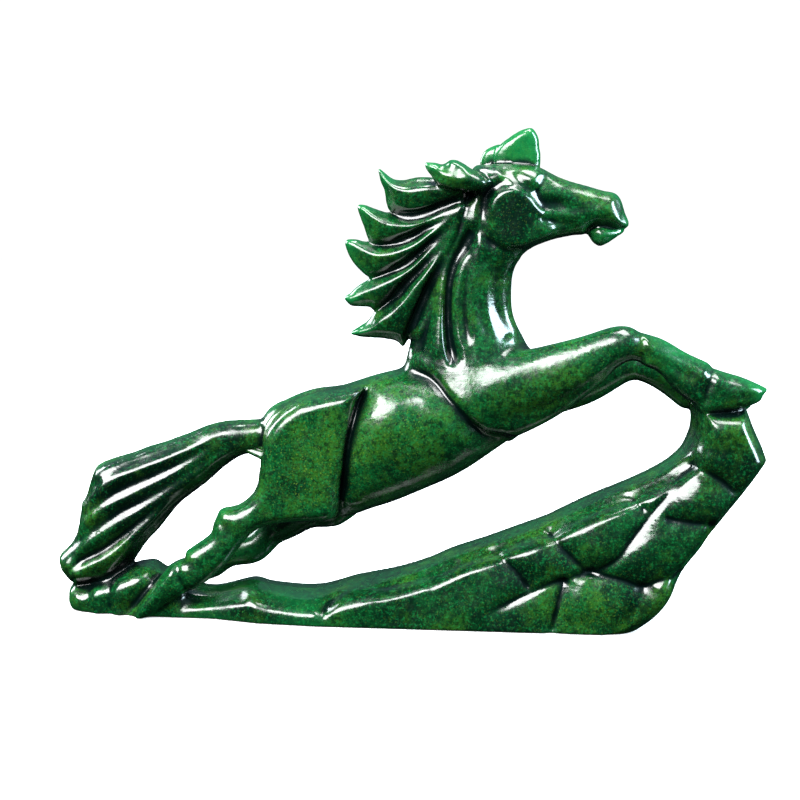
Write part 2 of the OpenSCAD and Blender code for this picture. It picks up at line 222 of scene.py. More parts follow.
class Block:
    """The stone while it is being carved."""

    def __init__(self, grain, margin=7.0):
        low, high = (np.array(c) / MM for c in CAD_BOX)
        self.grain = grain
        self.low = low - margin
        self.shape = tuple(np.ceil((high - low + 2 * margin) / grain).astype(int) + 1)
        self.x, self.y, self.z = (
            (self.low[i] + grain * np.arange(self.shape[i])).astype(np.float32) for i in range(3))
        self.field = None

    def distances(self, points, faces, reach):
        """Signed distances to a closed mesh whose points are in mm."""
        points = ((points - self.low) / self.grain).astype(np.float32)
        kind = "triangles" if faces.shape[1] == 3 else "quads"
        grid = vdb.FloatGrid.createLevelSetFromPolygons(
            points, halfWidth=reach / self.grain, **{kind: faces.astype(np.uint32)})
        out = np.empty(self.shape, np.float32)
        grid.copyToArray(out)
        return out * self.grain

    def skin(self, field):
        """The field's surface: points in mm and four-cornered faces that look outwards."""
        grid = vdb.FloatGrid(float(field.max()))
        grid.copyFromArray(np.ascontiguousarray(field))
        points, faces = grid.convertToQuads(0.0)
        return points * self.grain + self.low, faces

    def window(self, low, high):
        """Slices of the grid that hold a box given in mm."""
        ends = []
        for i in range(3):
            first = math.floor((low[i] - self.low[i]) / self.grain)
            last = math.ceil((high[i] - self.low[i]) / self.grain) + 1
            ends.append(slice(max(0, first), min(self.shape[i], last)))
        return tuple(ends)

    def sample(self, field, points, step=1):
        """The field's value at each point, between the grid's own points or every so many."""
        place = (points - self.low) / (self.grain * step)
        cell = np.clip(np.floor(place).astype(int), 0, np.array(field.shape) - 2)
        part = (place - cell).astype(np.float32)
        total = 0
        for corner in np.ndindex(2, 2, 2):
            weight = np.prod(np.where(corner, part, 1 - part), axis=1)
            total = total + weight * field[tuple((cell + corner).T)]
        return total

    def slope(self, field, points):
        """The field's unit gradient at each point, which is the skin's normal there."""
        step = self.grain * 0.8
        out = np.empty((len(points), 3), np.float32)
        for i in range(3):
            move = np.zeros(3)
            move[i] = step
            out[:, i] = self.sample(field, points + move) - self.sample(field, points - move)
        return out / np.maximum(np.linalg.norm(out, axis=1, keepdims=True), 1e-9)

    def add(self, window, shape, fillet):
        """Join a shape to the stone with a fillet."""
        self.field[window] = merge(self.field[window], shape, fillet)

    def relief(self, depth, side, start, full):
        """Sink the skin by a depth in mm that is given over the side view. It starts at one
        distance from the stone's middle plane and has its full depth from another."""
        t = np.clip((np.abs(self.y) - start) / (full - start), 0, 1)
        share = t * t * (3 - 2 * t)
        if side == NEAR:
            share = np.where(self.y < 0, share, 0)
        self.field += depth[:, None, :] * share[None, :, None].astype(np.float32)


def soften(field, radius, grain):
    """Blur a field so that its facets and inner corners are rounded off."""
    for _ in range(max(1, round(2 * (radius / grain) ** 2))):
        for axis in range(field.ndim):
            mid, before, after = ([slice(None)] * field.ndim for _ in range(3))
            mid[axis], before[axis], after[axis] = slice(1, -1), slice(0, -2), slice(2, None)
            fresh = field.copy()
            fresh[tuple(mid)] *= 0.5
            fresh[tuple(mid)] += 0.25 * field[tuple(before)]
            fresh[tuple(mid)] += 0.25 * field[tuple(after)]
            field = fresh
    return field


def merge(a, b, fillet):
    """Two solids as one, with a fillet between them."""
    blend = np.maximum(fillet - np.abs(a - b), 0) / fillet
    return np.minimum(a, b) - blend * blend * fillet / 4


# ---- Strokes and swept shapes --------------------------------------------------------------------

def stroke(points, steps=8):
    """A smooth line through a few points, each with any number of values."""
    p = np.asarray(points, float)
    if len(p) == 2:
        return np.linspace(p[0], p[1], steps + 1)
    p = np.vstack([2 * p[0] - p[1], p, 2 * p[-1] - p[-2]])
    out = []
    for i in range(len(p) - 3):
        a, b, c, d = p[i:i + 4]
        t = np.linspace(0, 1, steps, endpoint=False)[:, None]
        out.append(0.5 * (2 * b + (c - a) * t + (2 * a - 5 * b + 4 * c - d) * t ** 2
                          + (3 * b - a - 3 * c + d) * t ** 3))
    return np.vstack(out + [p[-2:-1]])


def nearest(xs, zs, line):
    """Over a side-view grid: distance to a line of [x, z, ...] points, how far along it that is
    (0 to 1), which side it is on, and the line's other values there."""
    best = np.full((len(xs), len(zs)), 1e9, np.float32)
    along = np.zeros_like(best)
    hand = np.zeros_like(best)
    gx, gz = xs[:, None], zs[None, :]
    last = len(line) - 1
    for i in range(last):
        (ax, az), (bx, bz) = line[i][:2], line[i + 1][:2]
        dx, dz = bx - ax, bz - az
        t = np.clip(((gx - ax) * dx + (gz - az) * dz) / max(dx * dx + dz * dz, 1e-9), 0, 1)
        ox, oz = gx - ax - t * dx, gz - az - t * dz
        d = ox * ox + oz * oz
        closer = d < best
        best = np.where(closer, d, best)
        along = np.where(closer, (i + t) / last, along)
        hand = np.where(closer, np.sign(dx * oz - dz * ox), hand)
    stops = np.linspace(0, 1, last + 1)
    rest = [np.interp(along, stops, line[:, k]).astype(np.float32) for k in range(2, line.shape[1])]
    return np.sqrt(best), along.astype(np.float32), hand, rest


def swept(block, stations, edge=2.0, steps=8):
    """A limb through stations of [x, z, y, half height, half width]. An edge of 2 makes its
    section an ellipse, and less gives it a ridge."""
    line = stroke(stations, steps)
    most = line[:, 3:].max() + 5
    low = [line[:, 0].min() - most, (line[:, 2] - line[:, 4]).min() - 5, line[:, 1].min() - most]
    high = [line[:, 0].max() + most, (line[:, 2] + line[:, 4]).max() + 5, line[:, 1].max() + most]
    window = block.window(low, high)
    u, _, _, (y0, h, w) = nearest(block.x[window[0]], block.z[window[2]], line)
    v = np.abs(block.y[window[1]][None, :, None] - y0[:, None, :])
    a = np.maximum(u[:, None, :], 1e-3) / h[:, None, :]
    b = np.maximum(v, 1e-3) / w[:, None, :]
    q = (a ** edge + b ** edge) ** (1 / edge)
    grow = np.sqrt((a ** (edge - 1) / h[:, None, :]) ** 2 + (b ** (edge - 1) / w[:, None, :]) ** 2)
    grow *= q ** (1 - edge)
    return window, ((q - 1) / np.maximum(grow, 0.05)).astype(np.float32)


def ball(block, centre, radii):
    """An egg of [x, y, z] radii."""
    most = max(radii) + 5
    window = block.window([c - most for c in centre], [c + most for c in centre])
    x = block.x[window[0]][:, None, None] - centre[0]
    y = block.y[window[1]][None, :, None] - centre[1]
    z = block.z[window[2]][None, None, :] - centre[2]
    q = np.sqrt((x / radii[0]) ** 2 + (y / radii[1]) ** 2 + (z / radii[2]) ** 2) + 1e-6
    grow = np.sqrt((x / radii[0] ** 2) ** 2 + (y / radii[1] ** 2) ** 2 + (z / radii[2] ** 2) ** 2) / q
    return window, ((q - 1) / np.maximum(grow, 0.03)).astype(np.float32)


def outline(points, steps=5):
    """A closed outline: smooth through its points, with a corner where a point is given twice."""
    p = np.asarray(points, float)
    n = len(p)
    out = []
    for i in range(n):
        a, b, c, d = p[i - 1], p[i], p[(i + 1) % n], p[(i + 2) % n]
        if np.allclose(b, c):
            continue
        t = np.linspace(0, 1, steps, endpoint=False)[:, None]
        out.append(0.5 * (2 * b + (c - a) * t + (2 * a - 5 * b + 4 * c - d) * t ** 2
                          + (3 * b - a - 3 * c + d) * t ** 3))
    return np.vstack(out)


def inside(xs, zs, loop):
    """Which points of a side-view grid a closed outline holds."""
    gx, gz = xs[:, None], zs[None, :]
    held = np.zeros((len(xs), len(zs)), bool)
    for (ax, az), (bx, bz) in zip(loop, np.roll(loop, -1, axis=0)):
        if az != bz:
            crosses = (az > gz) != (bz > gz)
            held ^= crosses & (gx < ax + (gz - az) / (bz - az) * (bx - ax))
    return held


def slab(block, loop, half, edge, middle=0.0):
    """A flat-sided shape cut to a side-view outline. Its half width, and its middle where that
    isn't one number, come from stops of [x, value]. Its rim is rounded over the edge distance."""
    loop = outline(loop)
    ring = np.vstack([loop, loop[:1]])
    stops = middle if isinstance(middle, list) else [(0, middle)]
    most = max(w for _, w in half) + 3
    low = [loop[:, 0].min() - 4, min(m for _, m in stops) - most, loop[:, 1].min() - 4]
    high = [loop[:, 0].max() + 4, max(m for _, m in stops) + most, loop[:, 1].max() + 4]
    window = block.window(low, high)
    xs, zs = block.x[window[0]], block.z[window[2]]
    gap = nearest(xs, zs, ring)[0]
    gap = np.where(inside(xs, zs, loop), -gap, gap)
    wide = np.interp(xs, *zip(*half))[:, None]
    centre = np.interp(xs, *zip(*stops))[:, None]
    return window, flat_sided(block, window, gap, wide * rim(-gap / edge), centre)


def rim(t):
    """A quarter-round profile from 0 at the edge to 1."""
    return np.sqrt(1 - (1 - np.clip(t, 0, 1)) ** 2)


def flat_sided(block, window, gap, thick, middle):
    """Distances to a shape with a half thickness for each place in the side view."""
    gx, gz = np.gradient(thick, block.grain)
    lean = np.sqrt(1 + np.minimum(gx * gx + gz * gz, 9))
    off = np.abs(block.y[window[1]][None, :, None] - middle[:, None, :])
    within = np.maximum((off - thick[:, None, :]) / lean[:, None, :], gap[:, None, :])
    without = np.sqrt(np.maximum(gap, 0)[:, None, :] ** 2 + off ** 2)
    return np.where(gap[:, None, :] < 0, within, without).astype(np.float32)


def tapered(along, taper):
    """1 along a line, falling to 0 over a share of its length at each end."""
    start, end = (max(part, 1e-3) for part in taper)
    return np.clip(along / start, 0, 1) * np.clip((1 - along) / end, 0, 1)


class Relief:
    """Carving over the side view: depths in mm, positive where the stone is cut away."""

    def __init__(self, block):
        self.block = block
        self.depth = np.zeros((block.shape[0], block.shape[2]), np.float32)

    def _place(self, line, reach):
        low = [line[:, 0].min() - reach, 0, line[:, 1].min() - reach]
        high = [line[:, 0].max() + reach, 0, line[:, 1].max() + reach]
        wx, _, wz = self.block.window(low, high)
        return (wx, wz), self.block.x[wx], self.block.z[wz]

    def groove(self, points, depth, width, valley=0.0, valley_width=6.0, side=0, taper=(0.12, 0.12)):
        """A knife cut with an optional gentle valley on one side of it, or on both for side 0."""
        line = stroke(points)
        place, xs, zs = self._place(line, max(width, valley_width if valley else 0) * 2.5 + 1)
        d, along, hand, _ = nearest(xs, zs, line)
        fade = tapered(along, taper)
        fade = fade * (2 - fade)
        cut = depth * np.exp(-(d / width) ** 1.6)
        if valley:
            open_side = np.ones_like(d) if side == 0 else np.where(hand == side, 1.0, 0.0)
            cut = cut + valley * np.exp(-(d / valley_width) ** 2) * open_side
        self.depth[place] += cut * fade

    def vee(self, points, depth, above, below, taper=(0.1, 0.1)):
        """A V-shaped cut whose two walls run out at their own distances from its bottom."""
        line = stroke(points)
        place, xs, zs = self._place(line, max(above, below) + 1)
        d, along, hand, _ = nearest(xs, zs, line)
        wide = np.where(hand > 0, above, below)
        fade = tapered(along, taper)
        self.depth[place] += depth * np.clip(1 - d / wide, 0, 1) * fade * (2 - fade)

    def strand(self, upper, lower, depth, ridge=0.35, full=7.0):
        """Shape the skin between two lines into a long ridge. The ridge lies at a share of the
        way down, and strands narrower than the full width are cut less deep."""
        upper, lower = stroke(upper, 6), stroke(lower, 6)
        loop = np.vstack([upper, lower[::-1]])
        place, xs, zs = self._place(loop, 2)
        above = nearest(xs, zs, upper)[0]
        below = nearest(xs, zs, lower)[0]
        across = above / np.maximum(above + below, 1e-3)
        climb = np.minimum(across / ridge, (1 - across) / (1 - ridge))
        most = depth * np.clip((above + below) / full, 0, 1) ** 1.6
        beyond = most * np.clip(1 - np.minimum(above, below) / 1.2, 0, 1)
        cut = np.where(inside(xs, zs, loop), most * (1 - climb ** 0.85), beyond)
        self.depth[place] = np.maximum(self.depth[place], cut)

    def bulge(self, x, z, rx, rz, height, turn=0.0):
        """A soft swelling, or a hollow for a negative height."""
        reach = max(rx, rz) * 2.2
        spot = np.array([[x, z], [x, z]])
        place, xs, zs = self._place(spot, reach)
        c, s = math.cos(math.radians(turn)), math.sin(math.radians(turn))
        gx, gz = xs[:, None] - x, zs[None, :] - z
        a, b = (gx * c + gz * s) / rx, (gz * c - gx * s) / rz
        self.depth[place] -= height * np.exp(-(a * a + b * b) ** 1.3)

    def swell(self, points, width, height, taper=(0.15, 0.15)):
        """A rounded ridge along a line, or a channel for a negative height."""
        line = stroke(points)
        place, xs, zs = self._place(line, width * 2.5)
        d, along, _, _ = nearest(xs, zs, line)
        fade = tapered(along, taper)
        self.depth[place] -= height * np.exp(-(d / width) ** 2) * fade * (2 - fade)

    def fade(self, full, none):
        """Let the relief run out between two places along the stone."""
        self.depth *= np.clip((self.block.x - none) / (full - none), 0, 1)[:, None]

    def carve(self, start, full, side=BOTH, blur=0.6):
        """Cut the stone to this relief."""
        self.block.relief(soften(self.depth, blur, self.block.grain), side, start, full)
        self.depth[:] = 0


# ---- The rough block, from the frame's own regions -----------------------------------------------

def node_mesh(name):
    """A region's points in mm and its triangles."""
    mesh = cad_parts[name].data
    points = np.empty(len(mesh.vertices) * 3, np.float32)
    mesh.vertices.foreach_get("co", points)
    mesh.calc_loop_triangles()
    faces = np.empty(len(mesh.loop_triangles) * 3, np.int32)
    mesh.loop_triangles.foreach_get("vertices", faces)
    return points.reshape(-1, 3) / MM, faces.reshape(-1, 3)


def rough_out(block, soft):
    """Fuse the regions into one solid and take the facets off it."""
    points, faces, start = [], [], 0
    for name in NODES:
        if name not in CARVED_FRESH:
            p, f = node_mesh(name)
            points.append(p)
            faces.append(f + start)
            start += len(p)
    fused = block.distances(np.concatenate(points), np.concatenate(faces), 3 * block.grain)
    outer_points, outer_faces = block.skin(fused)
    block.field = soften(block.distances(outer_points, outer_faces, 10.0), soft, block.grain)


def true_up(block):
    """Measure the distances afresh, so that the carving that follows is cut to its full depth."""
    points, faces = block.skin(block.field)
    block.field = block.distances(points, faces, 10.0)


# ---- Rock ----------------------------------------------------------------------------------------

ROCK = [(-53, 11.5), (-46, 10), (-35, 9), (-28, 9.6), (-20, 12), (-10, 14.6), (0, 17.2), (10, 20.8),
        (18, 24.6), (30, 29), (40, 33), (50, 37), (57, 40.6), (65, 44.8), (72, 48), (80, 51.6),
        (90, 57), (96.5, 62.5), (99.8, 69), (100, 75), (100, 78), (100, 80), (118, 80), (118, 80),
        (121.3, 72.5), (124.5, 66), (126.4, 61.2), (126.4, 61.2), (122.6, 55), (118, 48.4),
        (113, 41.6), (108, 34.6), (104, 28.4), (100, 23), (97.4, 17.6), (93.4, 9.6), (88, 2.6),
        (80, -3), (72, -6), (72, -6), (-112, -6), (-112, -6), (-117, 0), (-118, 4), (-117, 7.6),
        (-112.5, 10), (-106, 12.4), (-100, 14.2), (-94, 16.4), (-88, 17.2), (-84, 15), (-76, 10),
        (-66, 8.6)]


def shape_rock(block, sizes):
    """One long stone that climbs from the tail to the ledge under the fore hooves."""
    wide = mm(sizes.half_width)
    half = [(-118, wide - 10), (-104, wide - 8), (-92, wide - 7), (-66, wide - 7), (-50, wide - 2),
            (-30, wide),
            (126, wide)]
    block.add(*slab(block, ROCK, half, mm(sizes.shoulder)), fillet=1.5)


def level_underside(block):
    """Saw the underside flat."""
    block.field = np.maximum(block.field, -block.z[None, None, :])


def carve_rock(block, sizes):
    """The plates, ledges and rim of the rock."""
    r = Relief(block)
    plate = dict(depth=mm(sizes.plate_depth), width=0.8, valley=mm(sizes.plate_slope), valley_width=4.2)
    edge = [(28.6, 5.3), (37.4, 10.3), (49.2, 16.4), (58.9, 19.9), (64.8, 21.4), (73.6, 26.4),
            (80.3, 35.4), (85.1, 42.4), (90.9, 49.4), (97.6, 57.3), (100.5, 59.3)]
    r.groove(edge, taper=(0.15, 0.05), **plate)
    r.groove([(64.8, 21.4), (58.9, 26.4), (51.9, 32.4), (50, 33.9)], taper=(0, 0), **plate)
    r.groove([(50, 33.9), (53.8, 40.4), (56.7, 45.6)], taper=(0, 0.3), **plate)
    r.groove([(26, 28.4), (33.4, 25.4), (39.3, 21.4), (44, 15.5)], taper=(0.1, 0), **plate)
    r.groove([(69.5, 50), (78.2, 46.9), (84, 43.5)], taper=(0.1, 0.1), **plate)
    r.groove([(56.5, 19), (54.1, 9.3), (52.3, 0)], taper=(0, 0), **plate)
    r.groove([(64.8, 21.4), (76.7, 19.4), (82.6, 17.4), (88.5, 19.4), (97, 22)], taper=(0, 0), **plate)
    r.groove([(89.1, 41.4), (97.9, 40.4), (107, 39.9)], taper=(0.15, 0), **plate)
    r.groove([(98.5, 60.3), (107.4, 56.3), (114, 51)], taper=(0.05, 0), **plate)
    r.vee([(84, 19), (79.5, 8), (71.5, -1)], 1.2, 9, 2.5, taper=(0.1, 0))
    slope = [(-14, 11), (6, 20), (22, 27.4), (36, 33.6), (50, 39.4), (64, 45), (80, 52), (92, 58.5),
             (99, 66)]
    r.vee(slope, 3.4, 4.0, 19.0, taper=(0.3, 0.15))
    for x, z, rx, rz, turn in ((68, 34, 11, 7, 30), (45, 26, 8, 5, 25), (80, 27, 8, 5, 30),
                               (98, 47, 7, 5, 40), (66, 10, 9, 5, 0), (105, 60, 6, 5, 40),
                               (108, 71, 7, 4, 10), (92, 12, 7, 6, 30)):
        r.bulge(x, z, rx, rz, 0.9, turn)
    r.groove([(-27.6, 3), (-21.7, 10.3), (-17, 15)], 1.6, 1.0, valley=1.0, valley_width=4, side=1)
    r.vee([(58, 43), (45.2, 36.5), (33, 31.8), (19.6, 26), (5.9, 17.9), (-10, 12)], 1.3, 3.4, 1.0)
    r.vee([(46, 34), (29.6, 27.2), (19.7, 22), (8, 15)], 1.2, 2.6, 0.9)
    r.vee([(100.5, 62), (92, 55), (83, 50), (72, 45.6), (60, 42)], 0.9, 4.0, 1.2)
    r.groove([(-79, 3), (-69, 5.5), (-61, 8), (-54, 8)], 1.2, 1.0, valley=1.0, valley_width=4, side=1)
    r.carve(7.0, 14.0)
    for x, top, foot in ((-101.8, 15, -1), (-109.3, 11.5, -1)):
        r.vee([(x + 1.2, top), (x, (top + foot) / 2), (x + 0.8, foot)], 2.2, 1.4, 8.0, taper=(0.0, 0.0))
    r.carve(3.0, 9.0)


# ---- Body ----------------------------------------------------------------------------------------

def carve_body(block, sizes):
    """Muscles and creases of the trunk, shoulder and haunch."""
    r = Relief(block)
    deep, muscle = mm(sizes.crease_depth), mm(sizes.muscle)
    flank = [(-14.5, 83.5), (-16, 80), (-18, 73), (-20, 64), (-21, 54), (-22, 44), (-22.3, 36)]
    r.groove(flank, deep * 0.9, 1.1, taper=(0.3, 0))
    r.vee(flank, deep, 8.0, 1.6, taper=(0.35, 0))
    r.swell([(x - 3.4, z) for x, z in flank], 0.9, 0.7)
    r.bulge(-28, 70, 4.5, 3.2, -1.5, 40)
    shoulder = [(0, 90), (8, 87), (14, 81), (19, 76), (24, 71), (29, 68), (38, 66.5)]
    r.vee(shoulder, deep, 1.6, 7.0, taper=(0.2, 0.1))
    r.groove(shoulder, 0.8, 0.9, taper=(0.15, 0.1))
    r.bulge(-8, 74, 8, 12, muscle, -10)
    r.bulge(28, 84, 14, 9, muscle, 15)
    r.carve(3.0, 11.0)


def carve_hind_leg(block, sizes):
    """The cuts at the near hind leg's fetlock and hoof."""
    r = Relief(block)
    deep = mm(sizes.sinew_depth)
    r.vee([(-79.3, 22.5), (-77, 16), (-73.6, 9.5)], deep * 1.1, 1.2, 2.4, taper=(0.0, 0.1))
    r.vee([(-79.6, 20.7), (-84, 14.5), (-90, 7), (-96, 0)], deep * 1.5, 1.2, 5.0, taper=(0.05, 0.0))
    r.vee([(-66.5, 37), (-62, 34), (-60, 28)], deep * 0.6, 3.0, 2.0, taper=(0.1, 0.5))
    r.carve(5.0, 11.0, NEAR)


def carve_fore_legs(block, sizes):
    """The edges of the fore hooves and the long muscles of the forearm."""
    r = Relief(block)
    deep = mm(sizes.sinew_depth)
    r.vee([(104.8, 93.5), (103.2, 88.5), (102.2, 84.5), (102, 80)], deep, 1.4, 2.4, taper=(0.05, 0.2))
    r.vee([(112, 85), (117, 84.9), (122.5, 85)], deep * 0.6, 1.2, 2.0, taper=(0.4, 0))
    r.vee([(80, 98.5), (90, 94), (99, 90)], deep * 0.5, 4.0, 3.0, taper=(0.3, 0.2))
    r.vee([(30, 74), (44, 78), (56, 83.5), (66, 90), (74, 95)], deep * 0.75, 3.0, 5.0, taper=(0.3, 0.2))
    r.bulge(74, 100.5, 6, 4.5, deep * 0.55, -20)
    r.carve(5.0, 11.0)


def carve_neck(block, sizes):
    """The long strands down the side of the neck."""
    r = Relief(block)
    deep = mm(sizes.strand_depth)
    ridge = [(19.6, 142), (12, 130), (9.5, 120.5), (8.5, 112.5), (8.8, 103), (9.5, 94)]
    r.swell(ridge, 2.6, deep * 0.25, taper=(0.1, 0.1))
    r.vee([(17.5, 142), (11, 129), (7, 119), (4.5, 110), (2.5, 102), (1.5, 94)], deep * 0.75, 6.5, 2.4)
    groove = [(20.6, 139), (18.4, 134), (14.8, 126), (13.3, 119), (13, 110), (13.8, 100.5), (15.5, 91)]
    r.vee(groove, deep, 3.4, 1.8)
    r.swell([(18.3, 130), (16.2, 124), (15.4, 114.5), (15.7, 105), (17.4, 98)], 1.4, deep * 0.2)
    r.vee([(22.8, 141), (20.8, 131), (19.4, 121), (19.2, 110), (21, 99)], deep * 0.4, 1.4, 4.5)
    r.vee([(26.4, 131), (24.6, 120), (24.8, 110), (28, 101)], deep * 0.22, 1.2, 3.0)
    r.vee([(31, 128), (29, 119), (30, 110), (35, 101)], deep * 0.3, 3.5, 4)
    r.carve(2.0, 8.0)


def carve_head(block, sizes):
    """Cheek, brow, eye, crest, nostril and mouth."""
    r = Relief(block)
    deep = mm(sizes.line_depth)
    r.vee([(33, 155.4), (29.4, 153.8), (26.6, 151.8), (24.8, 149), (24.1, 145), (24.0, 140),
           (25.4, 136), (29, 132.4)],
          deep, 1.0, 2.6)
    r.vee([(32.6, 157.6), (34.6, 156.0), (36.5, 154.4), (39.8, 152.5),
           (42.6, 150.6)], deep * 0.7, 3.0, 1.2)
    r.vee([(44.6, 158.0), (43.2, 155.2), (42.4, 152.8), (42.6, 150), (43.9, 147.4), (46, 146.4),
           (52, 146), (62, 146.2)], deep * 1.2, 8.0, 1.4, taper=(0.2, 0.4))
    r.bulge(48.8, 148.6, 3.4, 1.2, -deep * 0.5, -6)
    r.vee([(43.3, 142.9), (45.8, 141.7), (49.5, 141.3),
           (57, 140.8)], deep * 0.9, 2.8, 1.0, taper=(0.05, 0.4))
    r.bulge(62.6, 147.8, 1.5, 0.9, -deep * 0.5, 20)
    r.vee([(69.2, 152.5), (70.2, 148.5), (72.0, 145.2),
           (72.8, 141)], deep * 0.6, 4.5, 0.9, taper=(0.1, 0.1))
    r.groove([(76, 139.2), (73.3, 139.5), (71.2, 140.0), (68, 141.0),
              (64.4, 142.0)], deep * 0.8, 0.6, taper=(0, 0.3))
    r.groove([(64.4, 142.4), (63, 141.4), (61.6, 139.6), (60.4, 137.2)], deep * 0.8, 0.6, taper=(0.2, 0))
    r.carve(1.5, 6.0)


HEAD = [(20, 158.5), (25, 160.2), (31, 160.6), (38, 160.6), (43.3, 159.9), (47, 158.2), (50, 156.8),
        (54.5, 155.3), (60, 154), (65, 152.7), (69.3, 152), (69.3, 152), (71, 151), (72.4, 148.5),
        (73.6, 145), (75, 142), (75, 140.2), (75, 140.2), (72, 139.2), (66, 139.4), (61, 138.6),
        (60.2, 137.2), (56, 136.6), (50.5, 135.4), (46.3, 134), (42, 132), (38.8, 129.5), (36.9, 127),
        (30, 122), (20, 130), (16, 145)]
CHEEK = [(24.4, 144), (24.8, 148), (27, 151.8), (31, 154.2), (36, 154.6), (41, 151.5), (45.5, 147),
         (50, 142), (50, 137), (44, 134), (38, 131.6), (31, 131.2), (26, 135.5)]
LIP = [(60.6, 138.4), (62.6, 141), (66, 141.2), (72, 139.4), (74.6, 138.9), (74.6, 138.9),
       (71, 136.5), (68.3, 134.5), (65.3, 133.1), (62.9, 134.3), (61.3, 136.4)]


def shape_head(block, sizes):
    """A long wedge with flat cheeks, square at the nose, with a hanging lower lip."""
    brow, cheek = mm(sizes.brow_half), mm(sizes.cheek_half)
    half = [(16, brow - 2.4), (30, brow - 0.8), (43, brow), (52, brow - 1.2), (64, brow - 2.4),
            (75, brow - 3.8)]
    block.add(*slab(block, HEAD, half, 7.0), fillet=3.0)
    block.add(*slab(block, CHEEK, [(24, cheek), (38, cheek), (46, cheek - 1.4), (52, cheek - 4)], 3.2),
              fillet=1.2)
    block.add(*slab(block, LIP, [(60, 6.2), (66, 6.8), (74, 5.2)], 5.0), fillet=0.6)


NEAR_EAR = [(3.2, 160.8), (3.2, 160.8), (9.4, 160.7), (12.1, 161.9), (14.6, 161.8), (17.2, 160.6),
            (19.6, 159), (24, 157), (26, 154), (22, 151), (15.8, 150.9), (8.8, 152.4), (6, 155.5),
            (4.1, 158)]
FAR_EAR = [(27, 157), (27.3, 163), (28.2, 165.3), (30, 167.6), (32.6, 169.7), (35, 171.4),
           (37.5, 172.7), (40.2, 173.3), (41.6, 172.2), (42.9, 170), (43.4, 166.7), (43.9, 163.8),
           (43.6, 159), (40, 155), (32, 154)]
EAR_FOLD = [(23, 159), (23.3, 163), (25, 165.3), (27.4, 166.6), (30, 167), (32, 163), (31, 157),
            (26, 156)]


def shape_ears(block, sizes):
    """The near ear lies back along the mane and the far ear stands up, each hollowed like a leaf."""
    near, far = mm(sizes.near_half), mm(sizes.far_half)
    low, high = span("near_ear")
    y = (low[1] + high[1]) / 2
    block.add(*slab(block, NEAR_EAR, [(3, near - 3), (12, near), (24, near + 1)], 4.5, y - 2), fillet=0.8)
    low, high = span("far_ear")
    y = (low[1] + high[1]) / 2
    block.add(*slab(block, FAR_EAR, [(26, far - 1.2), (34, far),
                                     (43, far - 1.2)], 3.0, y - 1), fillet=1.4)
    block.add(*slab(block, EAR_FOLD, [(23, far - 1.2), (31, far - 0.6)], 3.0, y + 1.5), fillet=0.8)
    hollow = mm(sizes.hollow)
    r = Relief(block)
    r.swell([(30, 158), (35, 164.6), (39.4, 170.4)], 3.4, -hollow * 0.9, taper=(0.0, 0.35))
    for shift in (-3.6, -1.2, 1.4, 3.6):
        r.groove([(31.5 + shift, 160), (35.4 + shift, 164.8),
                  (38.6 + shift * 0.7, 168.6)], hollow * 0.5, 0.8)
    r.groove([(26.4, 158), (27.6, 162.4), (29.6, 166)], hollow * 0.6, 0.7)
    r.carve(0.5, 4.5, NEAR, blur=0.4)
    r.swell([(8, 158.4), (12, 158.6), (17, 157.2)], 1.9, -hollow, taper=(0.2, 0.3))
    r.groove([(5, 158.6), (9.5, 155.4), (15, 153.6), (21, 153.4)], hollow * 0.7, 0.8)
    r.carve(4.0, 8.0, NEAR)


# Each lock is its upper line and its lower line, from the tip to the place where they all meet.
ROOT = (20.5, 149.5)
LOCKS = [
    ([(-12.6, 158.4), (-10.9, 157.2), (-8.6, 155.3), (-6.2, 154.2), (-3, 154.2), (0.5, 155.1),
      (5.2, 155.4), (12, 154.5), (24, 153.5)],
     [(-12.6, 158.4), (-11.5, 153.2), (-10.1, 150.3), (-9.5, 146.6), (-8.4, 143.7), (-5.6, 142.2),
      (-2.4, 141.3), (1.3, 141.4), (5.8, 142.7), (10.4, 144.8), (15, 146.8), ROOT]),
    ([(-19.4, 145), (-16.8, 145.2), (-13.6, 144.1), (-9, 142.8), (-4, 141.9), (0, 141.8), (5.8, 143),
      (10.4, 145.2), (15, 147.3), ROOT],
     [(-19.4, 145), (-18.4, 141.2), (-16.9, 137.6), (-15.6, 134), (-14.2, 132), (-12, 131.4),
      (-7.9, 131.5), (-3.3, 132.9), (0.3, 134.4), (4, 137.1), (8.6, 140), (14, 144), ROOT]),
    ([(-23.2, 132.6), (-19.7, 133.2), (-17, 132.6), (-12, 131.8), (-7.9, 132), (-3.3, 133.4),
      (0.3, 135), (4, 137.6), (8.6, 140.5), (14, 144.5), ROOT],
     [(-23.2, 132.6), (-22.4, 128.6), (-20, 124.6), (-17.5, 122), (-15.2, 120.3), (-13.3, 119.9),
      (-10.1, 120.8), (-5.5, 122.9), (-1.3, 125.1), (3.4, 129.5), (9, 135), (15, 141.5), ROOT]),
    ([(-23.2, 112.8), (-21.2, 114.2), (-19, 116.4), (-16.5, 118.2), (-13.7, 119.8), (-10.1, 121.3),
      (-5.5, 123.4), (-1.3, 125.7), (3.4, 130), (9, 135.5), (15, 142), ROOT],
     [(-23.2, 112.8), (-21.5, 110.4), (-19.5, 109.6), (-14.1, 109.5), (-12.6, 108.3), (-9, 110.5),
      (-4.5, 114.4), (-1, 119), (4.2, 124.6), (10, 132), (16, 140.5), ROOT]),
    ([(-20.8, 100.3), (-17.5, 102.8), (-14.5, 105), (-12.6, 107.5), (-9, 110.9), (-4.5, 115),
      (-1, 119.6), (4.2, 125.2), (10, 132.5), (16, 141), ROOT],
     [(-20.8, 100.3), (-17.5, 99.1), (-13, 98.8), (-8.3, 98.6), (-5.5, 98.2), (-3.6, 97.4),
      (-1.7, 96), (1.5, 103), (4.5, 111), (8, 120), (13, 131), (17, 140), ROOT]),
]


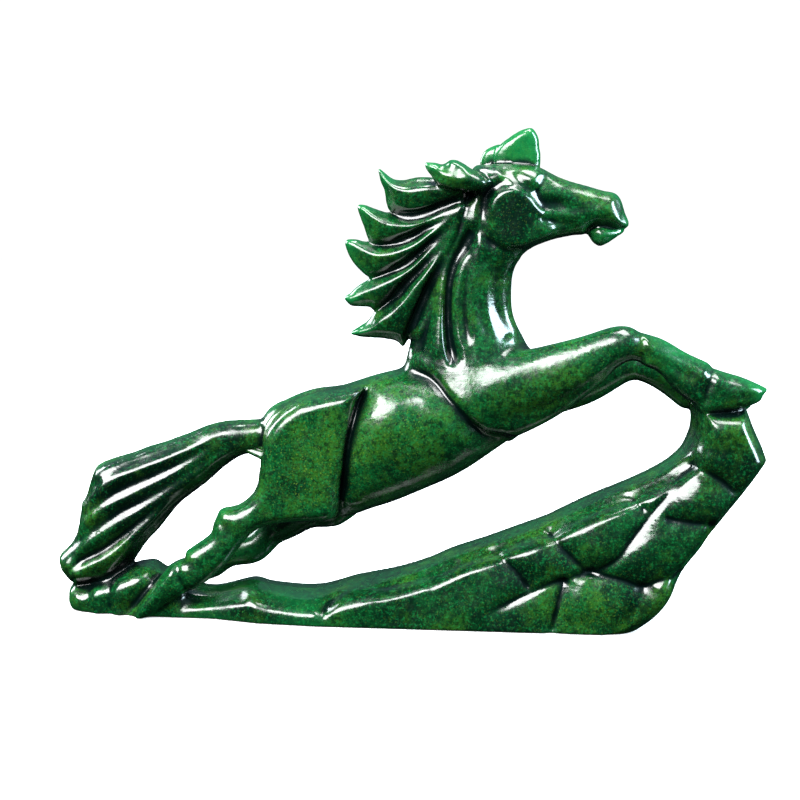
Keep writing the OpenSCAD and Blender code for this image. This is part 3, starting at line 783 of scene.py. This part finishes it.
MANE_WEB = [(20, 152), (8, 150), (-3, 147), (-7, 137), (-9, 126), (-8, 114), (-4, 104), (0, 99),
            (8, 102), (16, 130)]


def shape_mane(block, sizes):
    """Flame-shaped locks that sweep back from the crest, each with a bright ridge along it."""
    tip, root = mm(sizes.tip_half), mm(sizes.root_half)
    block.add(*slab(block, MANE_WEB, [(-9, tip), (-2, root - 4.5), (16, root - 1)], 4.0), fillet=0.8)
    for upper, lower in LOCKS:
        loop = upper + lower[::-1][1:-1]
        half = [(-24, tip), (-12, (tip + root) / 2), (4, root - 1), (20, root)]
        block.add(*slab(block, loop, half, 3.6), fillet=0.8)


def carve_mane(block, sizes):
    """The cuts between the locks."""
    r = Relief(block)
    for upper, lower in LOCKS:
        r.strand(upper, lower, mm(sizes.lock_depth), 0.34, 7.5)
    r.vee([(3.5, 157.5), (9.7, 156.2), (16.7, 156), (21, 156)], 1.6, 1.4, 3.0, taper=(0.1, 0.1))
    r.carve(0.8, 5.5, blur=0.8)


TAIL_RIM = [(-46, 68.4), (-57.6, 68.6), (-60.5, 68.5), (-65, 67.8), (-70, 66.3), (-75, 64), (-80, 62),
            (-85, 60), (-90.2, 58.3), (-95.4, 56.1), (-100, 54.6), (-104.5, 53), (-107, 51.8),
            (-108.8, 50.2), (-110, 47.6), (-111, 44.2), (-112.2, 39.8), (-113.8, 37), (-114.2, 33.5),
            (-115.3, 26.8), (-117.3, 22.6), (-119.8, 20), (-121.4, 17.8), (-121.3, 15.2),
            (-119.7, 12), (-115, 8), (-104, 8), (-97, 14), (-90.6, 23.6), (-85.6, 29.4), (-79, 38),
            (-70, 45.5), (-63, 52), (-57, 56), (-50.5, 57), (-44, 58)]
STRANDS = [
    ([(-110.8, 46), (-109.8, 48.5), (-107, 51.9), (-104.5, 53.2), (-100, 54.7), (-90.2, 58.4),
      (-80, 62.1), (-70, 66.4), (-62, 68.4), (-54, 68.6)],
     [(-110.8, 46), (-108, 46.6), (-104.2, 49.6), (-99, 52.4), (-90, 56), (-80, 60), (-70, 64),
      (-63.5, 66.8), (-54, 68.6)]),
    ([(-113.5, 38), (-111, 41.5), (-108, 44.8), (-104, 48.6), (-99, 51.4), (-90, 55), (-80, 59),
      (-70, 63), (-63.5, 66), (-52, 67.5)],
     [(-113.5, 38), (-110.5, 36.6), (-103, 42), (-95.3, 46), (-87.5, 49.4), (-80, 53), (-72, 57.8),
      (-63, 64), (-52, 67.5)]),
    ([(-116.5, 24), (-114, 33), (-110.5, 35.6), (-103, 41), (-95.3, 45), (-87.5, 48.4), (-80, 52),
      (-72, 56.8), (-62, 63.5), (-50, 66)],
     [(-116.5, 24), (-110.3, 28.2), (-102.7, 33.7), (-94.6, 38), (-87.4, 42.4), (-80, 47.5),
      (-73.5, 52.5), (-62, 60.5), (-50, 66)]),
    ([(-121.2, 16), (-117, 22.3), (-110.3, 27.2), (-102.7, 32.7), (-94.6, 37), (-87.4, 41.4),
      (-80, 46.5), (-73.5, 51.5), (-62, 59.5), (-50, 63)],
     [(-121.2, 16), (-112.7, 19.5), (-106.2, 23), (-100.6, 27), (-95.6, 31), (-90.5, 35.5), (-82, 42),
      (-72, 48.5), (-60, 57), (-50, 63)]),
    ([(-119.5, 11.5), (-112.7, 18.5), (-106.2, 22), (-100.6, 26), (-95.6, 30), (-90.5, 34.5),
      (-82, 41), (-72, 47.5), (-60, 56), (-50, 60)],
     [(-119.5, 11.5), (-112, 9.5), (-104, 12), (-97, 16.5), (-90.6, 24), (-85.6, 30), (-79, 38),
      (-70, 45.5), (-60, 54), (-50, 60)]),
]


def shape_tail(block, sizes):
    """Heavy strands that fan out from the dock as they fall."""
    wide = mm(sizes.half_width)
    half = [(-122, wide - 2), (-105, wide), (-85, wide - 0.5), (-66, wide - 3.5), (-46, wide - 5)]
    block.add(*slab(block, TAIL_RIM, half, 5.5), fillet=1.5)


def carve_tail(block, sizes):
    """The cuts between the strands."""
    r = Relief(block)
    for upper, lower in STRANDS:
        r.strand(upper, lower, mm(sizes.strand_depth), 0.34, 9.0)
    r.fade(-66, -50)
    r.carve(1.5, 7.5, blur=0.8)


HIND_LEG = [(-15, 83), (-17, 78), (-19, 70), (-20.5, 60), (-21.5, 50), (-22, 43), (-23, 38),
            (-26, 35.6), (-33, 34.8), (-41, 34), (-47, 33), (-52, 30.6), (-56.5, 25.5), (-60, 20.5),
            (-64.5, 16), (-69, 12), (-74, 9), (-82, 5), (-88, 0), (-93, -2), (-91.5, 6), (-86.5, 14),
            (-82, 19.4), (-79, 21), (-76, 21), (-75.3, 23.7), (-70, 27.6), (-67, 30.2), (-66.2, 33.5),
            (-65.4, 37), (-63.3, 39), (-58, 40.3), (-54, 43), (-51.5, 47), (-50.6, 53), (-50, 60),
            (-49, 66), (-46, 71), (-42, 75), (-37, 78.2), (-30, 80.4), (-22, 82.2)]


def shape_hind_leg(block, sizes):
    """The near haunch, which runs down into the leg without a break."""
    haunch, hoof = mm(sizes.haunch_half), mm(sizes.hoof_half)
    half = [(-92, hoof), (-76, hoof), (-66, hoof + 0.8), (-55, hoof + 1.8), (-45, haunch - 0.8),
            (-34, haunch),
            (-16, haunch - 0.2)]
    side = span("near_haunch")[0][1]
    middle = [(-92, side + hoof), (-76, side + hoof), (-60, side + hoof + 2), (-40, side + haunch)]
    block.add(*slab(block, HIND_LEG, half, 5.0, middle), fillet=2.6)


FORE_HOOF = [(80, 104), (85, 102), (90, 99.5), (95, 97), (100, 95), (105, 93.3), (105, 93.3),
             (110, 90.6), (120, 88.2), (124.6, 86.8), (124.6, 86.8), (122.6, 84.4), (118, 81),
             (115, 79.4), (110, 78.4), (102, 77.5), (98, 81), (95, 82.8), (91, 86), (88, 89.5),
             (85, 92), (80, 94.6)]
FAR_TOE = [(108, 84), (116, 83.4), (120, 82.6), (125, 82), (125, 82), (121.4, 79.4), (118, 76.4),
           (110, 76)]


def shape_fore_hooves(block, sizes):
    """The near hoof has a sharp toe, and the far one shows its toe below it."""
    y = sum(span("near_fore_hoof")[i][1] for i in (0, 1)) / 2
    wide = mm(sizes.fore_hoof_half)
    block.add(*slab(block, FORE_HOOF, [(80, wide - 0.6), (104, wide - 0.4), (114, wide),
                                       (124, wide - 3.4)], 4.0, y),
              fillet=1.0)
    block.add(*slab(block, FAR_TOE, [(108, 7), (124, 3)], 3.5, -y - 1), fillet=1.0)


def shape_body(block):
    """Fill the back and the groin so that the trunk runs into the haunches."""
    back = [(-42, 66, 0, 9, 13), (-30, 67, 0, 12.5, 15), (-18, 68.5, 0, 13.3, 16),
            (-6, 71, 0, 14, 17), (10, 76, 0, 13, 16)]
    block.add(*swept(block, back), fillet=4.0)
    block.add(*ball(block, (-22, 0, 44), (11, 15, 8)), fillet=3.0)
    groin = [(-40, 44, 0, 7, 8), (-28, 44, 0, 8, 12), (-14, 50, 0, 9, 15), (0, 56, 0, 9, 15)]
    block.add(*swept(block, groin), fillet=4.0)


# ---- Pieces --------------------------------------------------------------------------------------

def nearest_region(points):
    """Which of the frame's regions each point belongs to."""
    coarse = Block(1.2)
    best = np.full(len(points), 1e9, np.float32)
    owner = np.zeros(len(points), int)
    for i, name in enumerate(NODES):
        p, f = node_mesh(name)
        d = coarse.sample(coarse.distances(p, f, 9.0), points)
        closer = d < best
        best[closer] = d[closer]
        owner[closer] = i
    return owner


def settle(owner, faces, count):
    """Let each face take the region that most of its neighbours have, so that none is left alone."""
    regions = len(NODES)
    for _ in range(5):
        ballots = (faces * regions + owner[:, None]).ravel()
        votes = np.bincount(ballots, minlength=count * regions).astype(np.int16).reshape(count, regions)
        owner = sum(votes[faces[:, corner]] for corner in range(4)).argmax(axis=1)
    return owner


def spread(values, steps):
    """Over the side view, each place takes the largest value near it."""
    for _ in range(steps):
        wide = values.copy()
        wide[1:] = np.maximum(wide[1:], values[:-1])
        wide[:-1] = np.maximum(wide[:-1], values[1:])
        wide[:, 1:] = np.maximum(wide[:, 1:], values[:, :-1])
        wide[:, :-1] = np.maximum(wide[:, :-1], values[:, 1:])
        values = wide
    return values


def sink(block, points, depth):
    """Move points down into the stone until each is at its depth below the skin."""
    for _ in range(5):
        short = np.maximum(block.sample(block.field, points) + depth, 0)
        points = points - block.slope(block.field, points) * np.minimum(short, 1.2)[:, None]
    return points


# How the cuts between regions are closed: the count of rings, and in mm how deep the rings lie.
RINGS = 10
LIP_DEPTH, CORE_DEPTH, RING_DEPTH = 1.5, 4.0, 2.0


def hub_for(block, ring, centre):
    """Where a rim is drawn in to: of some places near its middle, the one that the fewest straight
    ways from the rim leave the stone for."""
    best, fewest = None, len(ring) * 10
    middle = ring.mean(0)
    for pull, across, up in itertools.product((0, 1), (0, 8, -8), (0, 7, 14, -7)):
        hub = sink(block, (middle + (centre - middle) * pull + (across, 0, up))[None], 2.0)
        ways = (block.sample(block.field, ring + (hub - ring) * t) for t in (0.15, 0.3, 0.6, 1))
        bare = sum((way > -0.3).sum() for way in ways)
        if bare < fewest:
            best, fewest = hub, bare
    return best


def cap(block, points, loose):
    """Close a region's open rims from inside: rings of faces that draw in to a hub in the stone."""
    parent = {v: v for v in np.unique(loose)}

    def root(v):
        while parent[v] != v:
            parent[v] = parent[parent[v]]
            v = parent[v]
        return v

    for a, b in loose:
        parent[root(a)] = root(b)
    groups = {}
    for v in parent:
        groups.setdefault(root(v), []).append(v)
    fresh, rank, hub = [], {}, {}
    total = len(points)
    for key, members in groups.items():
        ring = points[members]
        core = sink(block, ring, CORE_DEPTH)
        middle = hub_for(block, core[::3], points.mean(0))
        for k in range(RINGS):
            t = max(k - 1, 0) / (RINGS - 1)
            inner = sink(block, core + (middle - core) * t, RING_DEPTH)
            fresh.append(inner if k else sink(block, ring, LIP_DEPTH))
            for place, v in enumerate(members):
                rank[v, k + 1] = total + place
            total += len(members)
        fresh.append(middle)
        hub[key] = total
        total += 1
    faces = []
    for a, b in loose:
        before = (a, b)
        for k in range(RINGS):
            after = (rank[a, k + 1], rank[b, k + 1])
            faces.append((before[1], before[0], after[0], after[1]))
            before = after
        faces.append((before[1], before[0], hub[root(a)]))
    return np.vstack(fresh), faces


def fill_mesh(mesh, points, faces, closing):
    """Put points, four-cornered faces and a list of closing faces into an empty mesh."""
    corners = np.concatenate([faces.ravel(), *(np.array(f) for f in closing)]).astype(np.int32)
    sizes = np.concatenate([np.full(len(faces), 4), [len(f) for f in closing]]).astype(np.int32)
    mesh.vertices.add(len(points))
    mesh.vertices.foreach_set("co", points.astype(np.float32).ravel())
    mesh.loops.add(len(corners))
    mesh.loops.foreach_set("vertex_index", corners)
    mesh.polygons.add(len(sizes))
    mesh.polygons.foreach_set("loop_start", np.cumsum(sizes) - sizes)
    mesh.polygons.foreach_set("loop_total", sizes)
    mesh.update(calc_edges=True)


def region_piece(block, name, points, normals, faces, marks):
    """One region of the skin as a closed piece of its own."""
    used, faces = np.unique(faces, return_inverse=True)
    faces = faces.reshape(-1, 4)
    points, normals = points[used], normals[used]
    ends = np.roll(faces, -1, axis=1)
    ways = faces.ravel().astype(np.int64) * len(used) + ends.ravel()
    back = ends.ravel().astype(np.int64) * len(used) + faces.ravel()
    open_edges = ~np.isin(ways, back)
    loose = np.stack([faces.ravel()[open_edges], ends.ravel()[open_edges]], axis=1)
    fresh, closing = cap(block, points, loose) if len(loose) else (np.empty((0, 3)), [])
    mesh = bpy.data.meshes.new(name + "_stone")
    every = np.vstack([points, fresh]) if len(fresh) else points
    fill_mesh(mesh, every * MM, faces, closing)
    corner = np.empty(len(mesh.loops), np.int32)
    mesh.loops.foreach_get("vertex_index", corner)
    face_normals = np.empty(len(mesh.polygons) * 3, np.float32)
    mesh.polygons.foreach_get("normal", face_normals)
    sizes = np.empty(len(mesh.polygons), np.int32)
    mesh.polygons.foreach_get("loop_total", sizes)
    loop_normals = np.repeat(face_normals.reshape(-1, 3), sizes, axis=0)
    skin_loops = faces.size
    loop_normals[:skin_loops] = normals[corner[:skin_loops]]
    mesh.polygons.foreach_set("use_smooth", np.ones(len(mesh.polygons), bool))
    mesh.normals_split_custom_set(loop_normals.tolist())
    for label, values in marks.items():
        layer = mesh.attributes.new(label, "FLOAT", "POINT")
        data = np.full(len(every), np.median(values), np.float32)
        data[:len(points)] = values[used]
        layer.data.foreach_set("value", data)
    mesh.update()
    piece = bpy.data.objects.new(name + "_stone", mesh)
    bpy.context.scene.collection.objects.link(piece)
    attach(piece, "root")
    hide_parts(name)
    return piece


def part_out(block, material):
    """Cut the finished stone into the frame's regions."""
    points, faces = block.skin(block.field)
    for _ in range(2):
        miss = block.sample(block.field, points)[:, None]
        points = points - block.slope(block.field, points) * miss * 0.7
    normals = block.slope(block.field, points)
    clipped = np.clip(block.field, -8, 8)
    crease = block.sample(soften(clipped, 1.2, block.grain), points)
    hollow = block.sample(soften(clipped[::2, ::2, ::2], 3.2, block.grain * 2), points, step=2)
    stout = soften(spread(-clipped.min(axis=1), round(5.0 / block.grain)), 2.0, block.grain)
    flat = points.copy()
    flat[:, 1] = block.low[1]
    depth = block.sample(np.repeat(stout[:, None, :], 2, axis=1), flat)
    # crease, hollow and depth are measured from the stone's shape; the material paints shade into cuts
    # and hollows and a glow into thin places from them.
    marks = {"crease": crease, "hollow": hollow, "depth": depth}
    owner = settle(nearest_region(points[faces].mean(axis=1)), faces, len(points))
    for i, name in enumerate(NODES):
        mine = faces[owner == i]
        if not len(mine):
            raise RuntimeError("no skin was left for " + name)
        piece = region_piece(block, name, points, normals, mine, marks)
        piece.data.materials.append(material)


# ---- Material ------------------------------------------------------------------------------------

class Value:
    """A shader socket that takes part in arithmetic."""

    def __init__(self, tree, socket):
        self.tree, self.socket = tree, socket

    def _math(self, operation, a, b):
        return self.tree.node("ShaderNodeMath", {"operation": operation}, {0: a, 1: b})

    def __add__(self, other):
        return self._math("ADD", self, other)

    __radd__ = __add__

    def __mul__(self, other):
        return self._math("MULTIPLY", self, other)

    __rmul__ = __mul__

    def __sub__(self, other):
        return self._math("SUBTRACT", self, other)

    def __rsub__(self, other):
        return self._math("SUBTRACT", other, self)


class Tree:
    """A material's nodes."""

    def __init__(self, name):
        self.material = bpy.data.materials.new(name)
        self.material.use_nodes = True
        self.nodes = self.material.node_tree.nodes
        self.links = self.material.node_tree.links
        self.nodes.clear()

    def node(self, kind, settings=None, inputs=None, output=0):
        """Add a node: its settings first, then the values or links of its sockets."""
        made = self.nodes.new(kind)
        for key, value in (settings or {}).items():
            setattr(made, key, value)
        for key, value in (inputs or {}).items():
            if isinstance(value, Value):
                self.links.new(value.socket, made.inputs[key])
            else:
                made.inputs[key].default_value = value
        return Value(self, made.outputs[output]) if len(made.outputs) else None

    def mix(self, factor, a, b):
        """A colour between two colours."""
        made = self.nodes.new("ShaderNodeMix")
        made.data_type = "RGBA"
        for socket, value in zip((made.inputs[0], made.inputs[6], made.inputs[7]), (factor, a, b)):
            if isinstance(value, Value):
                self.links.new(value.socket, socket)
            else:
                socket.default_value = value
        return Value(self, made.outputs[2])

    def ramp(self, value, low, high):
        """0 below one value, 1 above the other, smooth between."""
        settings = {"interpolation_type": "SMOOTHSTEP", "clamp": True}
        return self.node("ShaderNodeMapRange", settings, {0: value, 1: low, 2: high, 3: 0.0, 4: 1.0})


# Soft patches of painted light and of painted shade on the stone: x, y and z of the middle, then the
# reach, in metres.
PAINTED_LIGHT_SPOTS = [(-0.034, -0.01, 0.058, 0.024), (-0.002, -0.01, 0.070, 0.020), (0.056, -0.01, 0.098, 0.016),
         (-0.064, -0.01, 0.034, 0.012), (0.062, -0.01, 0.008, 0.022), (-0.085, -0.01, 0.008, 0.014)]
PAINTED_SHADE_SPOTS = [(-0.086, -0.01, 0.044, 0.020), (0.082, -0.01, 0.098, 0.012), (0.036, -0.01, 0.143, 0.012),
         (0.020, -0.01, 0.080, 0.010), (-0.026, -0.01, 0.074, 0.008), (-0.044, 0.01, 0.034, 0.020),
         (0.000, -0.01, 0.050, 0.010)]
PATCH_BLUR = 0.6
FLECK_GREEN = (0.16, 0.30, 0.03, 1)


def jade(look):
    """Dark mottled green stone, polished by hand, with a painted glow where it is thin, painted shade in
    its cuts and hollows, and soft patches of painted light and painted shade.
    """
    t = Tree("polished_jade")
    place = t.node("ShaderNodeTexCoord", output=3)
    depth = t.node("ShaderNodeAttribute", {"attribute_name": "depth"}, output=2)
    crease = t.node("ShaderNodeAttribute", {"attribute_name": "crease"}, output=2)
    hollow = t.node("ShaderNodeAttribute", {"attribute_name": "hollow"}, output=2)

    def noise(scale, detail=3.0, rough=0.55, seed=0.0):
        settings = {"noise_dimensions": "4D"}
        return t.node("ShaderNodeTexNoise", settings, {
            "Vector": place, "W": seed, "Scale": scale, "Detail": detail, "Roughness": rough})

    cloud = noise(38, 4, 0.6, 1.3)
    drift = noise(85, 3, 0.6, 4.1)
    grain = noise(900, 2, 0.7, 2.2)
    pit = noise(420, 3, 0.65, 8.8)
    speck = noise(1250, 2, 0.6, 3.7)
    fleck = noise(1700, 1, 0.5, 7.7)
    stretched = t.node("ShaderNodeMapping", None, {
        "Vector": place, "Rotation": (0, 0.5, 0), "Scale": (1, 1, 5)})
    streak = t.node("ShaderNodeTexNoise", {"noise_dimensions": "4D"}, {
        "Vector": stretched, "W": 6.1, "Scale": 190.0, "Detail": 3.0, "Roughness": 0.6})
    dark, body, warm, bright, cut_shade = (
        (*tone, 1) for tone in (look.dark, look.body, look.warm, look.bright, look.cut_shade))

    def patches(places):
        """1 in the middle of any of some soft round patches of the stone, and 0 away from them."""
        found = []
        for *centre, reach in places:
            away = t.node("ShaderNodeVectorMath", {"operation": "DISTANCE"}, {0: place, 1: centre},
                          output=1)
            near, far = reach * (1 - PATCH_BLUR), reach * (1 + PATCH_BLUR)
            found.append(1 - t.ramp(away + 0.012 * cloud, near, far))
        return t.ramp(sum(found[1:], found[0]), 0.0, 1.0)

    # Painted light and shade: the colour layers below lean brighter in the lit patches and darker in the
    # shaded ones, and the lit patches also get more flecks and fewer dark pits.
    painted_light, painted_shade = patches(PAINTED_LIGHT_SPOTS), patches(PAINTED_SHADE_SPOTS)
    colour = t.mix(t.ramp(cloud + 0.07 * painted_light - 0.12 * painted_shade, 0.38, 0.64), dark, body)
    colour = t.mix(t.ramp(drift + 0.08 * painted_light - 0.12 * painted_shade, 0.46, 0.70) * 0.75, colour, warm)
    colour = t.mix(t.ramp(grain + 0.03 * painted_light - 0.05 * painted_shade, 0.48, 0.66) * 0.40, colour, bright)
    colour = t.mix(t.ramp(pit - 0.03 * painted_light + 0.06 * painted_shade, 0.48, 0.62) * 0.72, colour, dark)
    colour = t.mix(t.ramp(speck, 0.50, 0.62) * 0.55, colour, dark)
    colour = t.mix(t.ramp(fleck, 0.58, 0.72) * (0.10 + 0.25 * painted_light), colour, FLECK_GREEN)
    # Painted glow: where the stone is thin it is painted brighter green, as if lit through.
    colour = t.mix((1 - t.ramp(depth, 2.2, 5.4)) * 0.55, colour, bright)
    # Painted shade: broad hollows and the bottom of creases are painted a darker green.
    colour = t.mix(t.ramp(0.25 - hollow, 0.0, 1.2) * 0.85, colour, cut_shade)
    colour = t.mix(t.ramp(0 - crease, 0.03, 0.35) * 0.9, colour, cut_shade)
    wear = noise(300, 4, 0.65, 5.5)
    rough = look.smooth + look.worn * t.ramp(wear, 0.35, 0.7)
    height = noise(150, 3, 0.5, 9.0) + 0.16 * noise(700, 2, 0.5, 3.0) + 0.22 * streak
    bump = t.node("ShaderNodeBump", None, {"Strength": 0.34, "Distance": 0.0007, "Height": height})
    shader = t.node("ShaderNodeBsdfPrincipled", None, {
        "Base Color": colour, "Roughness": rough, "Normal": bump, "IOR": 1.6})
    t.node("ShaderNodeOutputMaterial", None, {0: shader})
    return t.material


# ---- Studio --------------------------------------------------------------------------------------

def softbox(name, place, target, width, height, power, colour=(1, 1, 1)):
    """A soft rectangular light that looks at a point."""
    data = bpy.data.lights.new(name, "AREA")
    data.shape = "RECTANGLE"
    data.size, data.size_y, data.energy, data.color = width, height, power, colour
    lamp = bpy.data.objects.new(name, data)
    bpy.context.scene.collection.objects.link(lamp)
    lamp.location = place
    lamp.rotation_euler = (Vector(target) - Vector(place)).to_track_quat("-Z", "Y").to_euler()


def build_floor(sizes):
    """A round pale floor."""
    bpy.ops.object.select_all(action="DESELECT")
    bpy.ops.mesh.primitive_circle_add(vertices=96, radius=sizes.floor_radius, fill_type="NGON")
    floor = bpy.context.object
    floor.name = "floor"
    bpy.ops.transform.translate(value=(0, 0, -0.0002))
    bpy.ops.object.transform_apply(location=True)
    t = Tree("pale_floor")
    shader = t.node("ShaderNodeBsdfPrincipled", None, {
        "Base Color": (*sizes.floor_tint, 1), "Roughness": 0.8, "Specular IOR Level": 0.1,
        "Emission Color": (1, 1, 1, 1), "Emission Strength": 0.45})
    t.node("ShaderNodeOutputMaterial", None, {0: shader})
    floor.data.materials.append(t.material)
    floor.visible_glossy = False
    floor.visible_diffuse = False


# Name, place, width, height, power and colour of the smaller lights.
SMALL_LIGHTS = [("top_light", (0.15, 0.1, 1.1), 0.9, 0.35, 16, (1, 1, 1)),
                ("rim_light", (-0.7, 0.6, 0.45), 0.3, 0.6, 8, (0.9, 0.97, 1)),
                ("side_light", (0.95, -0.12, 0.45), 0.45, 0.7, 30, (0.66, 0.88, 1))]


def build_lights(sizes):
    """A large soft light from the upper left, with smaller ones above, behind and at the right."""
    centre = Vector((0, 0, 0.08))
    softbox("key_light", (-0.55, -0.62, 0.85), centre, 1.05, 0.75, sizes.key_power)
    for name, place, width, height, power, colour in SMALL_LIGHTS:
        softbox(name, place, centre, width, height, power, colour)


ROOM_TINT = (0.50, 0.85, 1.0, 1)
ROOM_LOW, ROOM_HIGH = 0.01, 0.45
SEEN_WHITE = 1.1


def build_room():
    """Pale surroundings, which the camera sees bright and the stone reflects dim."""
    world = bpy.data.worlds.new("pale_room")
    world.use_nodes = True
    nodes, links = world.node_tree.nodes, world.node_tree.links
    back = nodes["Background"]
    seen = nodes.new("ShaderNodeLightPath")
    air = nodes.new("ShaderNodeMix")
    air.data_type = "RGBA"
    air.inputs[6].default_value = ROOM_TINT
    air.inputs[7].default_value = (1, 1, 1, 1)
    links.new(seen.outputs["Is Camera Ray"], air.inputs[0])
    links.new(air.outputs[2], back.inputs[0])
    way = nodes.new("ShaderNodeTexCoord")
    split = nodes.new("ShaderNodeSeparateXYZ")
    links.new(way.outputs["Generated"], split.inputs[0])
    sky = nodes.new("ShaderNodeMapRange")
    sky.inputs[1].default_value, sky.inputs[2].default_value = -0.15, 1.0
    sky.inputs[3].default_value, sky.inputs[4].default_value = ROOM_LOW, ROOM_HIGH
    links.new(split.outputs[2], sky.inputs[0])
    level = nodes.new("ShaderNodeMapRange")
    level.inputs[4].default_value = SEEN_WHITE
    links.new(seen.outputs["Is Camera Ray"], level.inputs[0])
    links.new(sky.outputs[0], level.inputs[3])
    links.new(level.outputs[0], back.inputs[1])
    bpy.context.scene.world = world
    bpy.context.scene.view_settings.view_transform = "Standard"


def build_camera(sizes):
    """A long lens on the near side, a little above the stone."""
    data = bpy.data.cameras.new("camera")
    data.lens = sizes.lens
    data.clip_start, data.clip_end = 0.05, 20
    camera = bpy.data.objects.new("camera", data)
    bpy.context.scene.collection.objects.link(camera)
    back = Vector((0, -math.cos(sizes.rise), math.sin(sizes.rise)))
    camera.location = Vector(sizes.aim) + back * sizes.reach
    camera.rotation_mode = "QUATERNION"
    level = (-back).to_track_quat("-Z", "Y")
    camera.rotation_quaternion = level @ Matrix.Rotation(sizes.roll, 3, "Z").to_quaternion()
    bpy.context.scene.camera = camera


# ---- Operators, panel and registration -----------------------------------------------------------

BENCH = {}


def stone():
    """The stone on the bench."""
    if "block" not in BENCH:
        raise RuntimeError("there is no rough block on the bench yet")
    return BENCH["block"]


class JADE_OT_block(bpy.types.Operator):
    """Fuse the frame's regions into one rough stone"""
    bl_idname = "jade.block"
    bl_label = "Rough Block"

    def execute(self, context):
        sizes = context.scene.jade_horse.block
        block = Block(mm(sizes.grain))
        rough_out(block, mm(sizes.rubbing))
        true_up(block)
        BENCH["block"] = block
        return {"FINISHED"}


class JADE_OT_trunk(bpy.types.Operator):
    """Shape the back, barrel and groin, and cut their creases"""
    bl_idname = "jade.trunk"
    bl_label = "Trunk"

    def execute(self, context):
        shape_body(stone())
        carve_body(stone(), context.scene.jade_horse.trunk)
        return {"FINISHED"}


class JADE_OT_neck(bpy.types.Operator):
    """Cut the long strands down the neck"""
    bl_idname = "jade.neck"
    bl_label = "Neck"

    def execute(self, context):
        carve_neck(stone(), context.scene.jade_horse.neck)
        return {"FINISHED"}


class JADE_OT_rock(bpy.types.Operator):
    """Shape the rock and cut its plates"""
    bl_idname = "jade.rock"
    bl_label = "Rock"

    def execute(self, context):
        sizes = context.scene.jade_horse.rock
        shape_rock(stone(), sizes)
        carve_rock(stone(), sizes)
        return {"FINISHED"}


class JADE_OT_hind_legs(bpy.types.Operator):
    """Shape the near haunch and hind leg down to the hoof"""
    bl_idname = "jade.hind_legs"
    bl_label = "Hind Legs"

    def execute(self, context):
        sizes = context.scene.jade_horse.legs
        shape_hind_leg(stone(), sizes)
        carve_hind_leg(stone(), sizes)
        return {"FINISHED"}


class JADE_OT_fore_legs(bpy.types.Operator):
    """Shape the fore hooves and cut the muscles of the forearms"""
    bl_idname = "jade.fore_legs"
    bl_label = "Fore Legs"

    def execute(self, context):
        sizes = context.scene.jade_horse.legs
        shape_fore_hooves(stone(), sizes)
        carve_fore_legs(stone(), sizes)
        return {"FINISHED"}


class JADE_OT_head(bpy.types.Operator):
    """Shape the head, cheeks and lower lip, and cut their lines"""
    bl_idname = "jade.head"
    bl_label = "Head"

    def execute(self, context):
        sizes = context.scene.jade_horse.head
        shape_head(stone(), sizes)
        carve_head(stone(), sizes)
        return {"FINISHED"}


class JADE_OT_mane(bpy.types.Operator):
    """Shape the locks of the mane and cut between them"""
    bl_idname = "jade.mane"
    bl_label = "Mane"

    def execute(self, context):
        sizes = context.scene.jade_horse.mane
        shape_mane(stone(), sizes)
        carve_mane(stone(), sizes)
        return {"FINISHED"}


class JADE_OT_ears(bpy.types.Operator):
    """Shape both ears and hollow them"""
    bl_idname = "jade.ears"
    bl_label = "Ears"

    def execute(self, context):
        shape_ears(stone(), context.scene.jade_horse.ears)
        return {"FINISHED"}


class JADE_OT_tail(bpy.types.Operator):
    """Shape the tail and cut between its strands"""
    bl_idname = "jade.tail"
    bl_label = "Tail"

    def execute(self, context):
        sizes = context.scene.jade_horse.tail
        shape_tail(stone(), sizes)
        carve_tail(stone(), sizes)
        return {"FINISHED"}


class JADE_OT_pieces(bpy.types.Operator):
    """Polish the stone and part it into its named pieces"""
    bl_idname = "jade.pieces"
    bl_label = "Polished Pieces"

    def execute(self, context):
        block = stone()
        block.field = soften(block.field, mm(context.scene.jade_horse.block.polish), block.grain)
        level_underside(block)
        part_out(block, jade(context.scene.jade_horse.look))
        BENCH.clear()
        return {"FINISHED"}


class JADE_OT_stage(bpy.types.Operator):
    """Lay the floor and set up the lights, the room and the camera"""
    bl_idname = "jade.stage"
    bl_label = "Stage"

    def execute(self, context):
        sizes = context.scene.jade_horse.stage
        build_floor(sizes)
        build_lights(sizes)
        build_room()
        build_camera(sizes)
        return {"FINISHED"}


STEPS = (JADE_OT_block, JADE_OT_trunk, JADE_OT_neck, JADE_OT_rock, JADE_OT_hind_legs, JADE_OT_fore_legs,
         JADE_OT_head, JADE_OT_mane, JADE_OT_ears, JADE_OT_tail, JADE_OT_pieces, JADE_OT_stage)


class JADE_PT_horse(bpy.types.Panel):
    """Lists the steps in their order, and every size and colour"""
    bl_idname = "JADE_PT_horse"
    bl_label = "Carved Jade Horse"
    bl_space_type = "VIEW_3D"
    bl_region_type = "UI"
    bl_category = "Jade Horse"

    def draw(self, context):
        for step in STEPS:
            self.layout.operator(step.bl_idname)
        settings = context.scene.jade_horse
        for key, kind in GROUPS.items():
            box = self.layout.box()
            box.label(text=key.capitalize())
            for name in kind.__annotations__:
                box.prop(getattr(settings, key), name)


CLASSES = (*GROUPS.values(), JadeHorseSettings, *STEPS, JADE_PT_horse)


def register():
    """Make the settings, the operators and the panel known to Blender."""
    for kind in CLASSES:
        bpy.utils.register_class(kind)
    bpy.types.Scene.jade_horse = PointerProperty(type=JadeHorseSettings)


def unregister():
    """Take them away again."""
    del bpy.types.Scene.jade_horse
    for kind in reversed(CLASSES):
        bpy.utils.unregister_class(kind)


def main():
    """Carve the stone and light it."""
    register()
    for step in STEPS:
        getattr(bpy.ops.jade, step.bl_idname.split(".")[1])()


if __name__ == "__main__":
    main()
